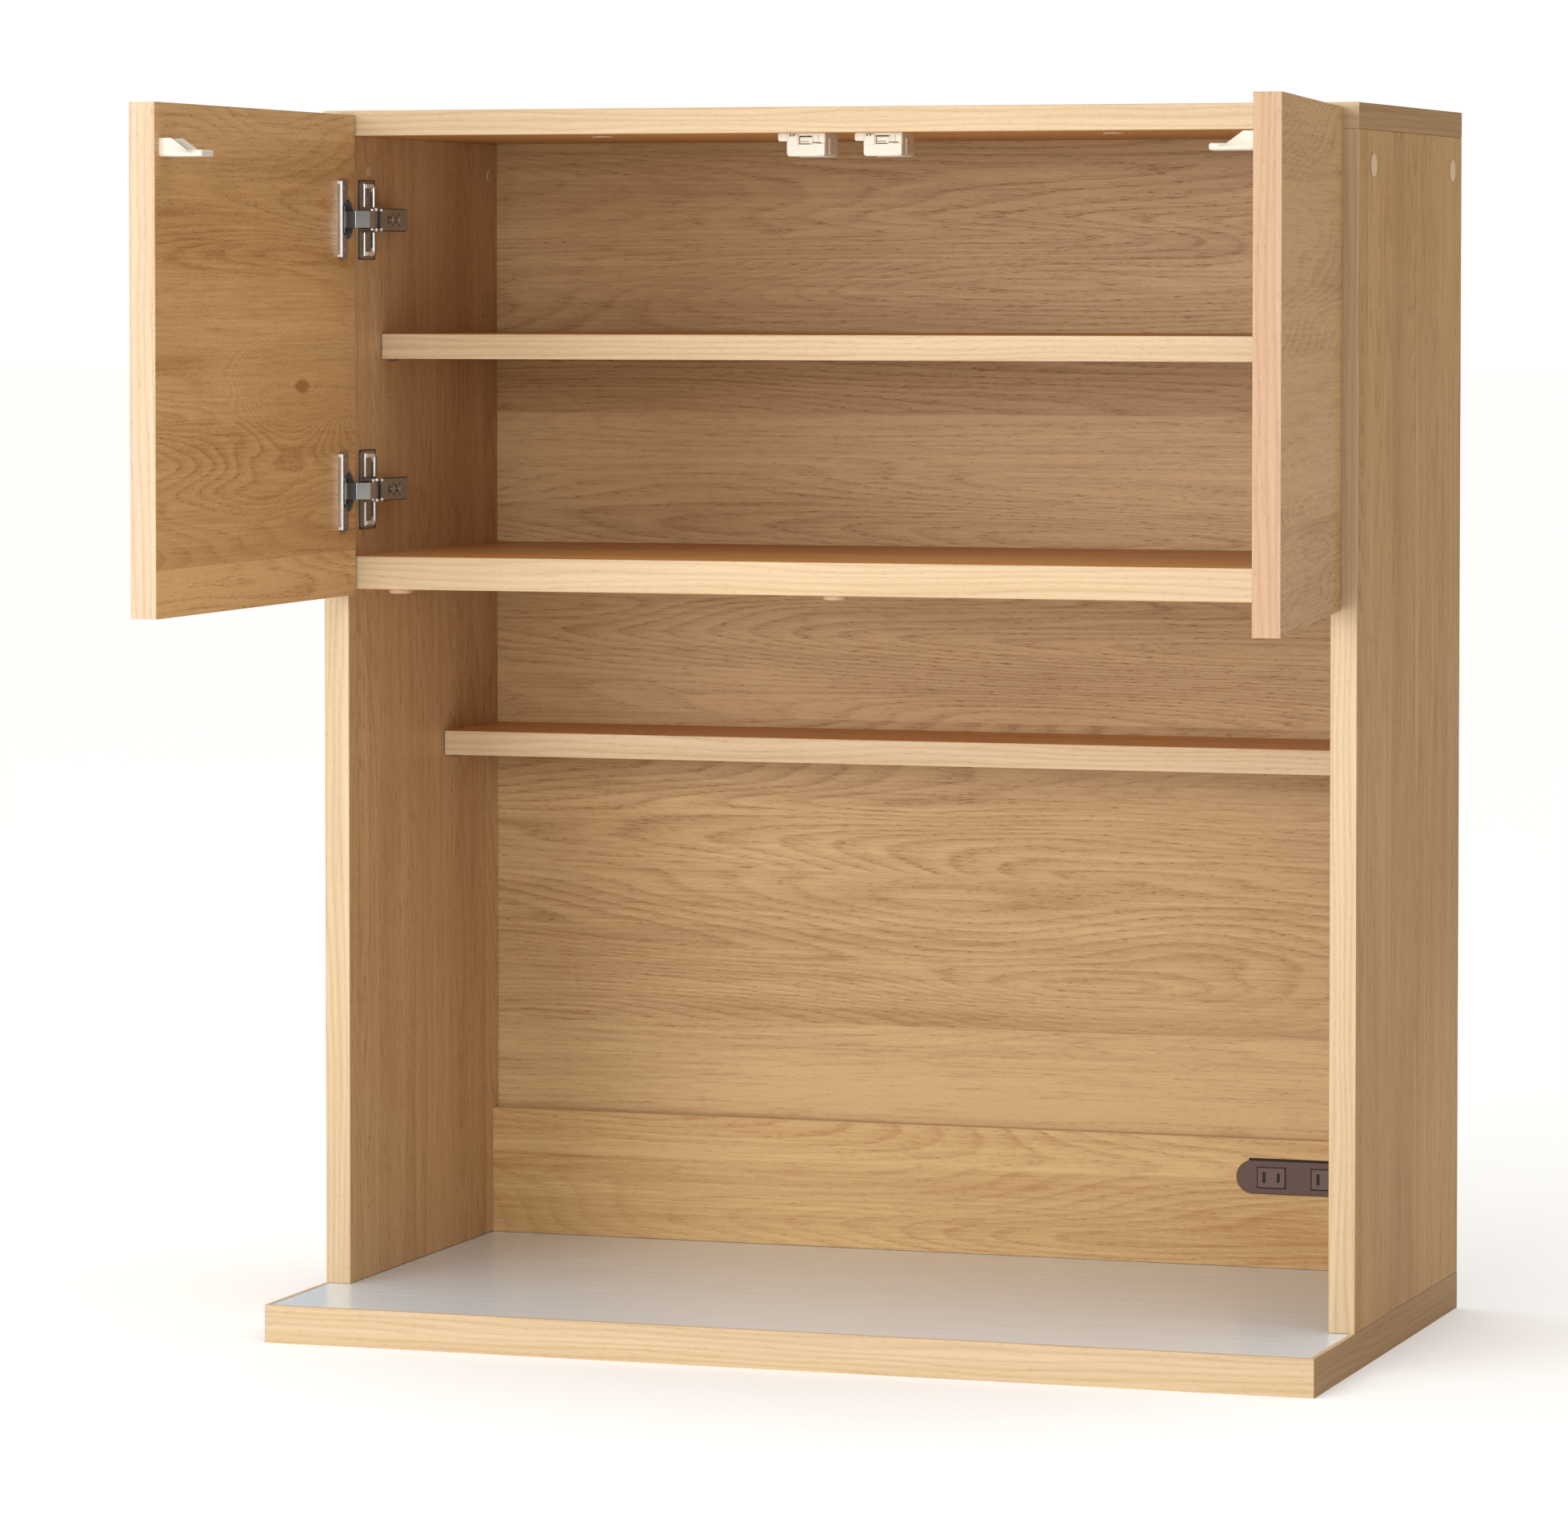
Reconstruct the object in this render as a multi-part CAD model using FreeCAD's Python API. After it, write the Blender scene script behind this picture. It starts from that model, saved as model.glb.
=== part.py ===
import FreeCAD, Part
import math
import os

# Kitchen cabinet top unit: an open niche over a steel counter, with a two-door compartment above.
# Millimetres. +Z is up, -Y is the front, X = 0 is the middle, Y = 0 is the plane of the carcass's
# front edges and Z = 0 is the underside of the counter. The doors stand open, as at rest.

# Carcass
WIDTH = 900.0
DEPTH = 370.0
HEIGHT = 1029.0
SIDE_T = 22.5
TOP_T = 21.5
FLOOR_T = 28.0
COMPARTMENT_H = 355.5
FIT = 0.05
SHELF_SIDE_GAP = 1.0

# Counter
COUNTER_REACH = 135.0
COUNTER_T = 31.5
EDGING_T = 4.0
STEEL_T = 1.0
STEEL_BELOW_EDGING = 0.3

# Back of the cabinet
BACK_PANEL_T = 5.5
BACK_GROOVE = 7.0
RAIL_T = 12.0
RAIL_H = 80.0
FOOT_RAIL_H = 110.0
BOARD_T = 12.0
BOARD_GAP = 1.5
BOARD_TOP_Z = 143.0

# Shelves and their pins
SHELF_T = 21.5
UPPER_SHELF_RISE = 166.3
UPPER_SHELF_DEEP = 277.5
LOWER_SHELF_DROP = 155.5
LOWER_SHELF_DEEP = 132.0
SHELF_BACK_GAP = 1.0
PIN_PITCH = 33.0
PIN_SHANK_R = 2.5
PIN_HEAD_R = 4.0
PIN_HEAD_L = 7.0
PIN_DEEP = 9.0
PIN_RISE = 1.5
PIN_IN_FROM_FRONT = 20.0
PIN_IN_FROM_BACK = 31.5
PIN_GROOVE_GAP = 0.1

# Doors, hinges and the open pose
DOOR_T = 21.8
DOOR_DROP = 4.0
DOOR_BELOW_FLOOR = 4.5
DOOR_SIDE_INSET = 1.0
DOOR_MID_GAP = 3.0
DOOR_SHUT_GAP = 3.0
DOOR_CORNER_R = 0.8
LEFT_OPEN = 88.3
RIGHT_OPEN = 98.1
HINGE_FROM_DOOR_END = 88.0
ARM_PIVOT_IN = 13.5
ARM_PIVOT_BACK = 22.5
CUP_PIVOT_EDGE = 11.0
CUP_PIVOT_DEEP = 6.0
LINK_TURN_SHARE = 0.245
RUNNING_GAP = 0.06

# Hinge cup
CUP_R = 17.5
CUP_EDGE = 22.5
CUP_DEEP = 13.0
CUP_WALL = 0.9
FLANGE_T = 2.2
FLANGE_HALF_H = 33.5
FLANGE_FROM = 23.0
FLANGE_TO = 42.0
FLANGE_CORNER = 4.0
CUP_SCREW_EDGE = 31.0
CUP_SCREW_HALF = 26.0
CUP_PIN_R = 1.5
CUP_PIN_END_GAP = 0.2

# Hinge link and arm
LINK_T = 1.9
LINK_HALF_H = 7.0
LINK_EYE_R = 3.0
LINK_KNUCKLE_R = 3.9
LINK_BEND_IN = 1.2
LINK_BEND_BACK = 8.0
LINK_NOSE_OUT = 2.5
LINK_NOSE_DEEP = 5.6
LINK_ELBOW_OUT = 0.5
LINK_ELBOW_DEEP = 9.3
ARM_PIN_R = 2.0
EAR_GAP = 0.5
EAR_T = 1.5
EAR_R = 5.0
ARM_WEB_T = 1.5
ARM_WEB_OUT = 3.4
ARM_WEB_FROM = 30.0
ARM_END = 90.0

# Mounting plate
PLATE_T = 2.0
PLATE_FRONT = 24.0
PLATE_WIDTH = 36.0
PLATE_HALF_H = 33.0
PLATE_CORNER = 3.0
PLATE_CHAMFER = 7.0
PLATE_SCREW_Y = 37.0
PLATE_SCREW_HALF = 16.0
PLATE_SLOT_Y = 47.0
PLATE_SLOT_L = 15.0
PLATE_SLOT_W = 3.0
RIDGE_END = 76.0
FIX_SCREW_Y = 66.0
SET_SCREW_Y = 52.0

# Screws and caps
SCREW_HEAD_R = 3.6
SCREW_HEAD_H = 2.2
SCREW_R = 1.75
SCREW_L = 14.0
SLOT_CROSS_W = 1.0
SLOT_CROSS_L = 4.2
SLOT_CROSS_D = 1.2
CONNECTOR_CAP_R = 9.5
INNER_CAP_R = 5.0
CAP_T = 1.2
CAP_STEM_R = 3.0
CAP_STEM_L = 6.0
CAP_FRONT_Y = 48.0
CAP_FROM_BACK = 38.0
CAP_BELOW_TOP = 50.0
FLOOR_CAP_R = 10.0
FLOOR_CAP_T = 4.0
FLOOR_CAP_Y = 20.0
FLOOR_CAP_IN = 39.5
TOP_CAP_IN = 202.5
TOP_CAP_Y = 75.0
DOWEL_R = 4.0
DOWEL_L = 30.0
DOWEL_IN = 74.0
DOWEL_IN_SIDE = 12.0

# Earthquake latch under the top panel, and the strike on each door
LATCH_W = 34.0
LATCH_H = 19.3
LATCH_FRONT = 20.5
LATCH_DEEP = 33.0
LATCH_WALL = 2.0
LATCH_CENTRES = (-26.0, 41.0)
LATCH_CORNER = 3.0
LATCH_TAB_W = 7.5
LATCH_TAB_H = 6.5
LATCH_TAB_DEEP = 12.0
LATCH_LIP_H = 10.0
LATCH_MOUTH_W = 12.0
LATCH_MOUTH_DEEP = 6.0
LATCH_BOSS_R = 4.5
LATCH_BOSS_UP = 2.0
LATCH_BOSS_ASIDE = 3.0
LATCH_RIB_T = 0.8
LATCH_RIB_FROM = 10.0
LATCH_RIB_W = 3.0
LATCH_SCREW_FROM_BACK = 6.0
LATCH_PIN_R = 1.25
LATCH_PIN_BACK = 19.0
LATCH_PIN_Z = 11.5
LEVER_W = 9.0
LEVER_CLEAR = 1.0
LEVER_EYE_R = 3.0
LEVER_TAIL_W = 24.0
LEVER_TAIL_GAP = 2.5
LEVER_TAIL_UP = 3.0
LEVER_TOOTH_T = 2.4
LEVER_TOOTH_UP = 1.5
STRIKE_W = 27.0
STRIKE_H = 14.5
STRIKE_REACH = 36.0
STRIKE_ARM_H = 5.4
STRIKE_TOP_L = 10.0
STRIKE_SLOPE_L = 12.5
STRIKE_NOSE_L = 3.3
STRIKE_WALL = 2.2
STRIKE_BASE_T = 3.0
STRIKE_UNDER_LATCH = 0.6
STRIKE_IN_OF_LATCH = 2.0

# Power outlet strip in the service board
OUTLET_FROM_SIDE = 54.5
OUTLET_L = 111.0
OUTLET_H = 29.0
OUTLET_Z = 110.0
OUTLET_PROUD = 2.4
OUTLET_BODY_GAP = 0.5
OUTLET_RIM = 3.0
OUTLET_DEEP = 26.0
OUTLET_WALL = 2.0
SOCKET_W = 24.0
SOCKET_H = 17.0
SOCKET_FIRST = 31.5
SOCKET_PITCH = 48.0
SOCKET_PROUD = 0.8
SOCKET_T = 10.0
SLOT_HALF_PITCH = 6.35
SLOT_W = 2.4
SLOT_H = (9.5, 7.6)
CONTACT_T = 0.7
GLAND_R = 5.0
GLAND_BORE_R = 3.2
GLAND_L = 4.0
CORD_WAY_HALF_W = 9.0

# Worked out from the above
HALF = WIDTH / 2
INNER = HALF - SIDE_T
CARCASS_TOP = HEIGHT - TOP_T
BACK_PANEL_Y = DEPTH - RAIL_T - BACK_PANEL_T
FLOOR_Z = CARCASS_TOP - COMPARTMENT_H - FLOOR_T
SHELF_BACK = BACK_PANEL_Y - SHELF_BACK_GAP
UPPER_SHELF_Z = FLOOR_Z + FLOOR_T + UPPER_SHELF_RISE
UPPER_SHELF_FRONT = SHELF_BACK - UPPER_SHELF_DEEP
LOWER_SHELF_Z = FLOOR_Z - LOWER_SHELF_DROP
LOWER_SHELF_FRONT = SHELF_BACK - LOWER_SHELF_DEEP
CAP_Z = HEIGHT - CAP_BELOW_TOP
CAP_YS = (CAP_FRONT_Y, DEPTH - CAP_FROM_BACK)
FLOOR_CAP_XS = (-INNER + FLOOR_CAP_IN, 0, INNER - FLOOR_CAP_IN)
TOP_CAP_XS = (-INNER + TOP_CAP_IN, INNER - TOP_CAP_IN)
BOARD_Y = BACK_PANEL_Y - BOARD_GAP - BOARD_T
DOOR_TOP = HEIGHT - DOOR_DROP
DOOR_BOTTOM = FLOOR_Z - DOOR_BELOW_FLOOR
DOOR_EDGE = HALF - DOOR_SIDE_INSET
DOOR_FREE = DOOR_MID_GAP / 2
HINGE_Z = (DOOR_BOTTOM + HINGE_FROM_DOOR_END, DOOR_TOP - HINGE_FROM_DOOR_END)
ARM_PIVOT = (-INNER + ARM_PIVOT_IN, ARM_PIVOT_BACK)
CUP_PIVOT = (-DOOR_EDGE + CUP_PIVOT_EDGE, -DOOR_SHUT_GAP - CUP_PIVOT_DEEP)
CUP_PIN_OFF_MIDDLE = CUP_EDGE - CUP_PIVOT_EDGE + CUP_PIN_R
CUP_PIN_HALF = math.sqrt(CUP_R ** 2 - CUP_PIN_OFF_MIDDLE ** 2) - CUP_PIN_END_GAP
LATCH_BOTTOM = CARCASS_TOP - LATCH_H
LATCH_PIN_Y = LATCH_FRONT + LATCH_PIN_BACK
STRIKE_MIDDLES = [abs(middle) - STRIKE_IN_OF_LATCH for middle in LATCH_CENTRES]
OUTLET_X = INNER - OUTLET_FROM_SIDE - OUTLET_L
UP = FreeCAD.Vector(0, 0, 1)


def vec(x, y, z):
    return FreeCAD.Vector(x, y, z)


def box(x0, x1, y0, y1, z0, z1):
    return Part.makeBox(x1 - x0, y1 - y0, z1 - z0, vec(x0, y0, z0))


def rod(start, along, radius, length):
    return Part.makeCylinder(radius, length, vec(*start), vec(*along))


def join(shapes):
    whole = shapes[0]
    for shape in shapes[1:]:
        whole = whole.fuse(shape)
    return whole.removeSplitter()


def carve(shape, tools):
    for tool in tools:
        shape = shape.cut(tool)
    return shape


def round_edges(shape, along, radius, keep=None):
    """Fillet the straight edges that run along an axis, or those of them that keep accepts."""
    edges = []
    for edge in shape.Edges:
        if edge.Curve.TypeId != "Part::GeomLine":
            continue
        if abs(abs(edge.tangentAt(edge.FirstParameter).dot(along)) - 1) > 1e-6:
            continue
        if keep is None or keep(edge.CenterOfMass):
            edges.append(edge)
    return shape.makeFillet(radius, edges)


def prism(points, along):
    """A closed outline of straight lines, pushed out along a vector."""
    corners = [vec(*point) for point in points]
    wire = Part.makePolygon(corners + corners[:1])
    return Part.Face(wire).extrude(vec(*along))


def mirrored(shape):
    return shape.mirror(vec(0, 0, 0), vec(1, 0, 0))


def save(name, shapes):
    """Write one node, a solid or a group of separate solids."""
    solids = []
    for shape in shapes:
        solids.extend(shape.Solids)
    whole = solids[0] if len(solids) == 1 else Part.makeCompound(solids)
    whole.exportStep("parts/%s.step" % name)
    print("%-22s %3d solids %12.1f mm3" % (name, len(solids), whole.Volume))


def screw(point, into, head_r=SCREW_HEAD_R, head_h=SCREW_HEAD_H, shank_r=SCREW_R, length=SCREW_L):
    """A countersunk screw with a cross recess; point is the middle of its head's outer face."""
    axis = vec(*into)
    start = vec(*point)
    head = Part.makeCone(head_r, shank_r, head_h, start, axis)
    shank = Part.makeCylinder(shank_r, length, start, axis)
    body = head.fuse(shank).removeSplitter()
    side = vec(0, 0, 1) if abs(axis.z) < 0.5 else vec(1, 0, 0)
    other = axis.cross(side)
    for first, second in ((side, other), (other, side)):
        corner = start - first * (SLOT_CROSS_L / 2) - second * (SLOT_CROSS_W / 2)
        points = [corner, corner + first * SLOT_CROSS_L]
        points += [points[1] + second * SLOT_CROSS_W, corner + second * SLOT_CROSS_W]
        body = body.cut(Part.Face(Part.makePolygon(points + [corner])).extrude(axis * SLOT_CROSS_D))
    return body


def screw_hole(point, into, head_r=SCREW_HEAD_R, head_h=SCREW_HEAD_H, shank_r=SCREW_R, length=SCREW_L):
    """The seat that a screw fills, with no clearance past its tip."""
    axis = vec(*into)
    start = vec(*point)
    head = Part.makeCone(head_r, shank_r, head_h, start, axis)
    return head.fuse(Part.makeCylinder(shank_r, length, start, axis))


# Carcass ---------------------------------------------------------------------------------------


def pin_places(shelf_z, shelf_front):
    """The (y, z) of the pins that carry a shelf, front then back."""
    z = shelf_z + PIN_RISE
    return [(shelf_front + PIN_IN_FROM_FRONT, z), (SHELF_BACK - PIN_IN_FROM_BACK, z)]


def side_panel():
    """The left side panel, with its pin holes, hinge screw holes and cap seats."""
    panel = box(-HALF, -INNER, 0, DEPTH, COUNTER_T, CARCASS_TOP)
    cuts = []
    groove_front = BACK_PANEL_Y - FIT
    cuts.append(box(-INNER - BACK_GROOVE, -INNER, groove_front, BACK_PANEL_Y + BACK_PANEL_T + FIT,
                    COUNTER_T, CARCASS_TOP))
    for shelf_z, shelf_front in ((UPPER_SHELF_Z, UPPER_SHELF_FRONT), (LOWER_SHELF_Z, LOWER_SHELF_FRONT)):
        for y, z in pin_places(shelf_z, shelf_front):
            for step in (-PIN_PITCH, 0, PIN_PITCH):
                cuts.append(rod((-INNER - PIN_DEEP, y, z + step), (1, 0, 0), PIN_SHANK_R, PIN_DEEP))
    for y in CAP_YS:
        cuts.append(rod((-HALF, y, CAP_Z), (1, 0, 0), CAP_STEM_R, CAP_STEM_L))
        cuts.append(rod((-INNER - CAP_STEM_L, y, CAP_Z), (1, 0, 0), CAP_STEM_R, CAP_STEM_L))
    for z in HINGE_Z:
        for shift in (-PLATE_SCREW_HALF, PLATE_SCREW_HALF):
            cuts.append(screw_hole((-INNER + PLATE_T, PLATE_SCREW_Y, z + shift), (-1, 0, 0)))
    cuts.extend(side_dowels())
    return carve(panel, cuts)


def side_dowels():
    """Dowels that join the left side to the top panel, the compartment floor and the counter."""
    dowels = []
    middle = -HALF + SIDE_T / 2
    for y in (DOWEL_IN, DEPTH - DOWEL_IN):
        dowels.append(rod((middle, y, CARCASS_TOP + DOWEL_IN_SIDE - DOWEL_L), (0, 0, 1), DOWEL_R, DOWEL_L))
        dowels.append(rod((-INNER - DOWEL_IN_SIDE, y, FLOOR_Z + FLOOR_T / 2), (1, 0, 0), DOWEL_R, DOWEL_L))
        dowels.append(rod((middle, y, COUNTER_T - DOWEL_IN_SIDE), (0, 0, 1), DOWEL_R, DOWEL_L))
    return dowels


def all_dowels():
    return side_dowels() + [mirrored(dowel) for dowel in side_dowels()]


def top_panel():
    panel = box(-HALF, HALF, 0, DEPTH, CARCASS_TOP, HEIGHT)
    cuts = [box(-INNER - BACK_GROOVE, INNER + BACK_GROOVE, BACK_PANEL_Y - FIT,
                BACK_PANEL_Y + BACK_PANEL_T + FIT, CARCASS_TOP, CARCASS_TOP + BACK_GROOVE)]
    for x in TOP_CAP_XS:
        cuts.append(rod((x, TOP_CAP_Y, CARCASS_TOP), (0, 0, 1), CAP_STEM_R, CAP_STEM_L))
    for place in latch_screw_places():
        cuts.append(screw_hole(place, (0, 0, 1)))
    return carve(panel, cuts + all_dowels())


def compartment_floor():
    panel = box(-INNER, INNER, 0, BACK_PANEL_Y, FLOOR_Z, FLOOR_Z + FLOOR_T)
    cuts = []
    for x in FLOOR_CAP_XS:
        cuts.append(rod((x, FLOOR_CAP_Y, FLOOR_Z), (0, 0, 1), CAP_STEM_R, CAP_STEM_L))
    return carve(panel, cuts + all_dowels())


def counter_core():
    core = box(-HALF + EDGING_T, HALF - EDGING_T, -COUNTER_REACH + EDGING_T, DEPTH, 0,
               COUNTER_T - STEEL_T - STEEL_BELOW_EDGING)
    return carve(core, all_dowels())


def counter_edging():
    """Front lipping between mitre-free side lippings, flush with the counter's top."""
    front = box(-HALF, HALF, -COUNTER_REACH, -COUNTER_REACH + EDGING_T, 0, COUNTER_T)
    front = round_edges(front, vec(0, 0, 1), 1.0, lambda p: p.y < -COUNTER_REACH + 0.1)
    left = box(-HALF, -HALF + EDGING_T, -COUNTER_REACH + EDGING_T, DEPTH, 0, COUNTER_T)
    return [front, left, mirrored(left)]


def counter_steel():
    """The steel sheet: it runs under the side panels, which stand on it."""
    top = COUNTER_T - STEEL_BELOW_EDGING
    sheet = box(-HALF + EDGING_T, HALF - EDGING_T, -COUNTER_REACH + EDGING_T, DEPTH, top - STEEL_T, top)
    return carve(sheet, all_dowels())


def back_panel():
    panel = box(-INNER - BACK_GROOVE + 1, INNER + BACK_GROOVE - 1, BACK_PANEL_Y, BACK_PANEL_Y + BACK_PANEL_T,
                COUNTER_T, CARCASS_TOP + BACK_GROOVE - 1)
    return carve(panel, [outlet_window()])


def back_rails():
    """Flat rails behind the back panel, at the top, behind the floor and at the foot."""
    rails = []
    places = ((CARCASS_TOP - RAIL_H, RAIL_H), (FLOOR_Z - RAIL_H / 2, RAIL_H), (COUNTER_T, FOOT_RAIL_H))
    for z, height in places:
        rail = box(-INNER, INNER, DEPTH - RAIL_T, DEPTH, z, z + height)
        rails.append(carve(rail, [outlet_window(), outlet_cord_way()]))
    return rails


def service_board():
    board = box(-INNER, INNER, BOARD_Y, BOARD_Y + BOARD_T, COUNTER_T, BOARD_TOP_Z)
    board = round_edges(board, vec(1, 0, 0), 1.0, lambda p: p.z > BOARD_TOP_Z - 0.1)
    return carve(board, [outlet_window()])


def shelf(shelf_z, shelf_front):
    """A loose shelf, grooved underneath where the pins carry it."""
    board = box(-INNER + SHELF_SIDE_GAP, INNER - SHELF_SIDE_GAP, shelf_front, SHELF_BACK,
                shelf_z, shelf_z + SHELF_T)
    grooves = []
    for y, z in pin_places(shelf_z, shelf_front):
        radius = PIN_HEAD_R + PIN_GROOVE_GAP
        length = PIN_HEAD_L + 2 - SHELF_SIDE_GAP
        groove = rod((-INNER + SHELF_SIDE_GAP, y, z), (1, 0, 0), radius, length)
        grooves += [groove, mirrored(groove)]
    return carve(board, grooves)


def shelf_pins(shelf_z, shelf_front):
    pins = []
    for y, z in pin_places(shelf_z, shelf_front):
        shank = rod((-INNER - PIN_DEEP, y, z), (1, 0, 0), PIN_SHANK_R, PIN_DEEP)
        head = rod((-INNER, y, z), (1, 0, 0), PIN_HEAD_R, PIN_HEAD_L)
        pin = join([shank, head])
        pins += [pin, mirrored(pin)]
    return pins


# Caps ------------------------------------------------------------------------------------------


def cap(point, out, radius, thick):
    """A domed press-in cap: its stem goes in and its disc stands out."""
    axis = vec(*out)
    disc = Part.makeCylinder(radius, thick, vec(*point), axis)
    rim = [e for e in disc.Edges if (e.CenterOfMass - vec(*point)).dot(axis) > thick * 0.9]
    disc = disc.makeFillet(min(thick, radius) * 0.6, rim[:1])
    stem = Part.makeCylinder(CAP_STEM_R, CAP_STEM_L, vec(*point) - axis * CAP_STEM_L, axis)
    return join([disc, stem])


def side_caps(x, out, radius):
    caps = [cap((x, y, CAP_Z), (out, 0, 0), radius, CAP_T) for y in CAP_YS]
    return caps + [mirrored(one) for one in caps]


def floor_caps():
    return [cap((x, FLOOR_CAP_Y, FLOOR_Z), (0, 0, -1), FLOOR_CAP_R, FLOOR_CAP_T) for x in FLOOR_CAP_XS]


def top_caps():
    return [cap((x, TOP_CAP_Y, CARCASS_TOP), (0, 0, -1), FLOOR_CAP_R, CAP_T) for x in TOP_CAP_XS]


# Doors and hinges: drawn shut, on the left ------------------------------------------------------


def door(strike_middle):
    """The door board, shut, with its cup pockets and screw seats."""
    face = -DOOR_SHUT_GAP
    board = box(-DOOR_EDGE, -DOOR_FREE, face - DOOR_T, face, DOOR_BOTTOM, DOOR_TOP)
    board = round_edges(board, UP, DOOR_CORNER_R)
    cuts = []
    for z in HINGE_Z:
        cuts.append(rod((-DOOR_EDGE + CUP_EDGE, face, z), (0, -1, 0), CUP_R, CUP_DEEP))
        for place in cup_screw_places(z):
            cuts.append(screw_hole(place, (0, -1, 0)))
    for place in strike_screw_places(strike_middle):
        cuts.append(screw_hole(place, (0, -1, 0)))
    return carve(board, cuts)


def cup_screw_places(z):
    x = -DOOR_EDGE + CUP_SCREW_EDGE
    y = -DOOR_SHUT_GAP + FLANGE_T
    return [(x, y, z - CUP_SCREW_HALF), (x, y, z + CUP_SCREW_HALF)]


def hinge_cup(z):
    """A pressed steel cup with its flange on the door's inner face."""
    face = -DOOR_SHUT_GAP
    centre = -DOOR_EDGE + CUP_EDGE
    flange = box(-DOOR_EDGE + FLANGE_FROM, -DOOR_EDGE + FLANGE_TO, face, face + FLANGE_T,
                 z - FLANGE_HALF_H, z + FLANGE_HALF_H)
    flange = round_edges(flange, vec(0, 1, 0), FLANGE_CORNER)
    rim = rod((centre, face, z), (0, 1, 0), CUP_R + 1, CUP_WALL)
    rim = rim.common(box(-DOOR_EDGE + 4.5, 0, face, face + FLANGE_T, z - FLANGE_HALF_H, z + FLANGE_HALF_H))
    cup = rod((centre, face - CUP_DEEP, z), (0, 1, 0), CUP_R, CUP_DEEP)
    hollow = rod((centre, face - CUP_DEEP + CUP_WALL, z), (0, 1, 0), CUP_R - CUP_WALL, CUP_DEEP + FLANGE_T)
    cuts = [hollow, cup_pin(z)]
    cuts += [screw_hole(place, (0, -1, 0)) for place in cup_screw_places(z)]
    return carve(join([flange, rim, cup]), cuts)


def cup_pin(z):
    x, y = CUP_PIVOT
    return rod((x, y, z - CUP_PIN_HALF), (0, 0, 1), CUP_PIN_R, 2 * CUP_PIN_HALF)


def arm_pin(z):
    x, y = ARM_PIVOT
    half = LINK_HALF_H + EAR_GAP + EAR_T
    return rod((x, y, z - half), (0, 0, 1), ARM_PIN_R, 2 * half)


def hinge_link(z):
    """The cranked cover link, shut: it reaches round the carcass's front corner into the cup."""
    low = z - LINK_HALF_H
    high = 2 * LINK_HALF_H
    bend = (ARM_PIVOT[0] + LINK_BEND_IN, LINK_BEND_BACK)
    nose = (ARM_PIVOT[0] - LINK_NOSE_OUT, -DOOR_SHUT_GAP - LINK_NOSE_DEEP)
    elbow = (-INNER - LINK_ELBOW_OUT, -DOOR_SHUT_GAP - LINK_ELBOW_DEEP)
    route = [ARM_PIVOT, bend, nose, elbow, CUP_PIVOT]
    parts = []
    for start, end in zip(route, route[1:]):
        parts.append(strap(start, end, LINK_T / 2, low, high))
    for corner in route[1:-1]:
        parts.append(rod((corner[0], corner[1], low), (0, 0, 1), LINK_T / 2, high))
    parts.append(rod((ARM_PIVOT[0], ARM_PIVOT[1], low), (0, 0, 1), LINK_KNUCKLE_R, high))
    parts.append(rod((CUP_PIVOT[0], CUP_PIVOT[1], low), (0, 0, 1), LINK_EYE_R, high))
    bores = [rod((ARM_PIVOT[0], ARM_PIVOT[1], low), (0, 0, 1), ARM_PIN_R + RUNNING_GAP, high),
             rod((CUP_PIVOT[0], CUP_PIVOT[1], low), (0, 0, 1), CUP_PIN_R + RUNNING_GAP, high)]
    return carve(join(parts), bores)


def strap(start, end, half, low, high):
    """A flat strip between two points of the XY plane, standing along Z."""
    run = math.hypot(end[0] - start[0], end[1] - start[1])
    nx = -(end[1] - start[1]) / run * half
    ny = (end[0] - start[0]) / run * half
    corners = [(start[0] + nx, start[1] + ny, low), (end[0] + nx, end[1] + ny, low),
               (end[0] - nx, end[1] - ny, low), (start[0] - nx, start[1] - ny, low)]
    return prism(corners, (0, 0, high))


def hinge_arm(z):
    """The arm: a channel over the plate's ridge, with two ears that hold the link's pin."""
    x, y = ARM_PIVOT
    inner = LINK_HALF_H + EAR_GAP
    web_in = x + ARM_WEB_OUT
    web = box(web_in, web_in + ARM_WEB_T, ARM_WEB_FROM, ARM_END, z - inner - EAR_T, z + inner + EAR_T)
    parts = [web]
    for low in (z - inner - EAR_T, z + inner):
        leg = box(-INNER + PLATE_T, web_in + ARM_WEB_T, y, RIDGE_END, low, low + EAR_T)
        ear = rod((x, y, low), (0, 0, 1), EAR_R, EAR_T)
        parts += [leg, ear]
    cuts = [arm_pin(z)]
    cuts.append(rod((-INNER, FIX_SCREW_Y, z), (1, 0, 0), SCREW_R, SIDE_T))
    cuts.append(rod((-INNER, SET_SCREW_Y, z), (1, 0, 0), SCREW_R, SIDE_T))
    return carve(join(parts), cuts)


def arm_screws(z):
    """The fixing screw and the side-setting screw of one arm."""
    out = ARM_PIVOT[0] + ARM_WEB_OUT + ARM_WEB_T
    screws = []
    for y in (FIX_SCREW_Y, SET_SCREW_Y):
        body = screw((out + SCREW_HEAD_H, y, z), (-1, 0, 0), length=SCREW_HEAD_H + ARM_WEB_T + 4)
        keeper = rod((out, y, z), (1, 0, 0), SCREW_R, SCREW_HEAD_H / 2)
        screws.append(body.fuse(keeper).removeSplitter())
    return screws


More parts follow.
